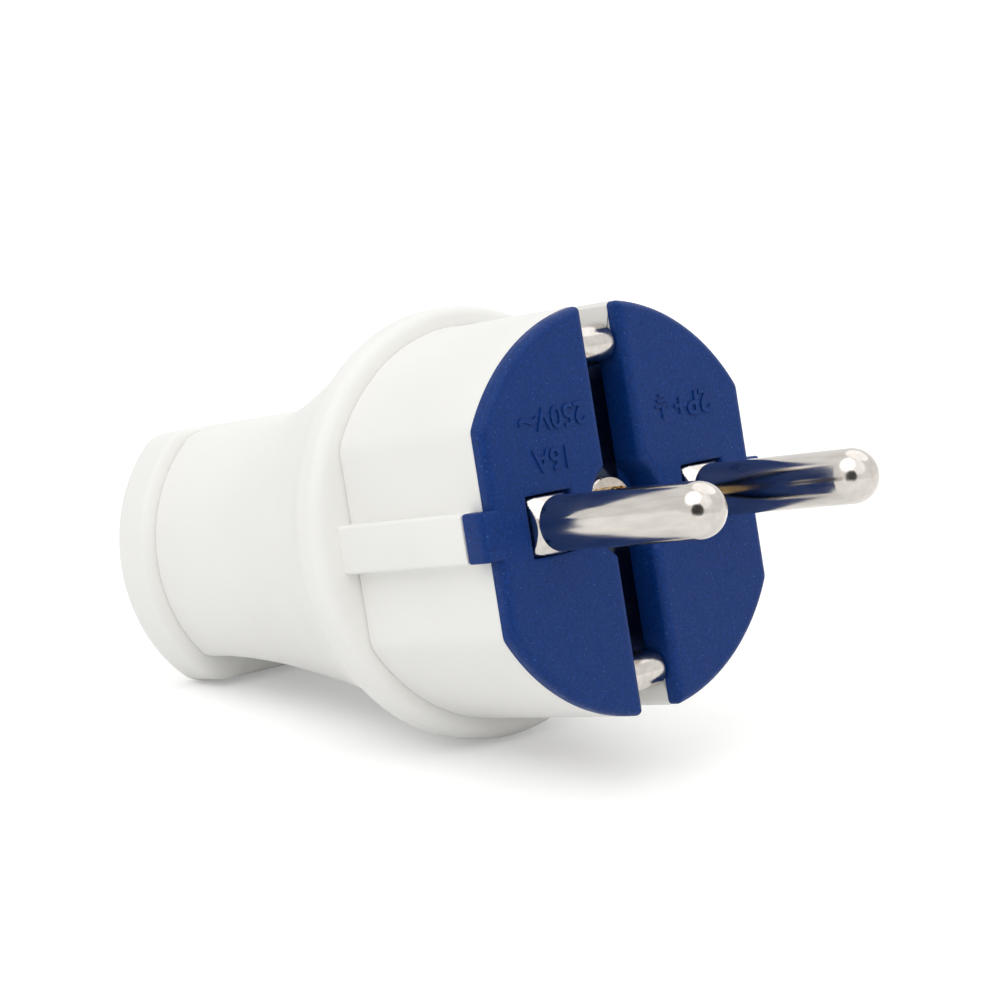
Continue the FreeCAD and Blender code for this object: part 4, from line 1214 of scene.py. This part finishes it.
def floor_finish():
    """White card that keeps the object's shadow, lifted to white where it is seen directly."""
    finish = bpy.data.materials.new("floor_card")
    finish.use_nodes = True
    nodes, links = finish.node_tree.nodes, finish.node_tree.links
    shader = nodes["Principled BSDF"]
    shader.inputs["Base Color"].default_value = (0.9, 0.9, 0.9, 1.0)
    shader.inputs["Roughness"].default_value = 0.9
    shader.inputs["Specular IOR Level"].default_value = 0.0
    lift = nodes.new("ShaderNodeMath")
    lift.operation = "MULTIPLY"
    lift.inputs[1].default_value = FLOOR_GLOW
    links.new(seen_directly(nodes, links), lift.inputs[0])
    links.new(lift.outputs[0], shader.inputs["Emission Strength"])
    shader.inputs["Emission Color"].default_value = (1.0, 1.0, 1.0, 1.0)
    return finish


def lens_card(camera, radius):
    """A dark disc behind the lens, which only reflections see."""
    turn = np.linspace(0, 2 * math.pi, 48, endpoint=False)
    disc = np.stack([radius * np.cos(turn), radius * np.sin(turn), np.full_like(turn, LENS_GAP)], axis=1)
    bpy.context.view_layer.update()
    place = np.array(camera.matrix_world)
    mesh = bpy.data.meshes.new("lens_card")
    mesh.from_pydata((disc @ place[:3, :3].T + place[:3, 3]).tolist(), [], [list(range(len(disc)))])
    finish = bpy.data.materials.new("black_card")
    finish.use_nodes = True
    finish.node_tree.nodes["Principled BSDF"].inputs["Base Color"].default_value = (0.02, 0.02, 0.02, 1.0)
    mesh.materials.append(finish)
    card = bpy.data.objects.new("lens_card", mesh)
    card.visible_camera = False
    card.visible_diffuse = False
    card.visible_shadow = False
    bpy.context.scene.collection.objects.link(card)


class PLUG_OT_stage(bpy.types.Operator):
    """Make the floor, the lamps and the camera"""
    bl_idname = "plug.stage"
    bl_label = "Stage"

    def execute(self, context):
        scene = context.scene
        settings = scene.plug_stage
        scene.view_settings.view_transform = "Standard"
        studio_world(scene)

        half = settings.floor_size / 2
        mesh = bpy.data.meshes.new("floor")
        mesh.from_pydata([(-half, -half, 0), (half, -half, 0), (half, half, 0), (-half, half, 0)],
                         [], [(0, 1, 2, 3)])
        mesh.materials.append(floor_finish())
        floor = bpy.data.objects.new("floor", mesh)
        scene.collection.objects.link(floor)

        for name, light in LAMPS.items():
            add_sun(name, *light)

        data = bpy.data.cameras.new("camera")
        data.angle = settings.camera_view
        camera = bpy.data.objects.new("camera", data)
        camera.location = settings.camera_place
        camera.rotation_euler = settings.camera_turn
        scene.collection.objects.link(camera)
        scene.camera = camera
        lens_card(camera, settings.card_radius)
        return {"FINISHED"}


OPERATORS = (PLUG_OT_housing, PLUG_OT_insert, PLUG_OT_marks, PLUG_OT_pins, PLUG_OT_strip,
             PLUG_OT_face_screw, PLUG_OT_fasteners, PLUG_OT_stage)


class PLUG_PT_panel(bpy.types.Panel):
    """Lists the steps that dress the plug"""
    bl_idname = "PLUG_PT_panel"
    bl_label = "Earthed Mains Plug"
    bl_space_type = "VIEW_3D"
    bl_region_type = "UI"
    bl_category = "Plug"

    def draw(self, context):
        for operator in OPERATORS:
            self.layout.operator(operator.bl_idname)
        for name, group in SIZES.items():
            box = self.layout.box()
            for prop in group.__annotations__:
                box.prop(getattr(context.scene, name), prop)


def register():
    for group in SIZES.values():
        bpy.utils.register_class(group)
    for name, group in SIZES.items():
        setattr(bpy.types.Scene, name, bpy.props.PointerProperty(type=group))
    for operator in OPERATORS:
        bpy.utils.register_class(operator)
    bpy.utils.register_class(PLUG_PT_panel)


def unregister():
    bpy.utils.unregister_class(PLUG_PT_panel)
    for operator in reversed(OPERATORS):
        bpy.utils.unregister_class(operator)
    for name, group in SIZES.items():
        delattr(bpy.types.Scene, name)
        bpy.utils.unregister_class(group)


def main():
    """Dresses the frame step by step."""
    register()
    bpy.ops.plug.housing()
    bpy.ops.plug.insert()
    bpy.ops.plug.marks()
    bpy.ops.plug.pins()
    bpy.ops.plug.strip()
    bpy.ops.plug.face_screw()
    bpy.ops.plug.fasteners()
    bpy.ops.plug.stage()


if __name__ == "__main__":
    main()
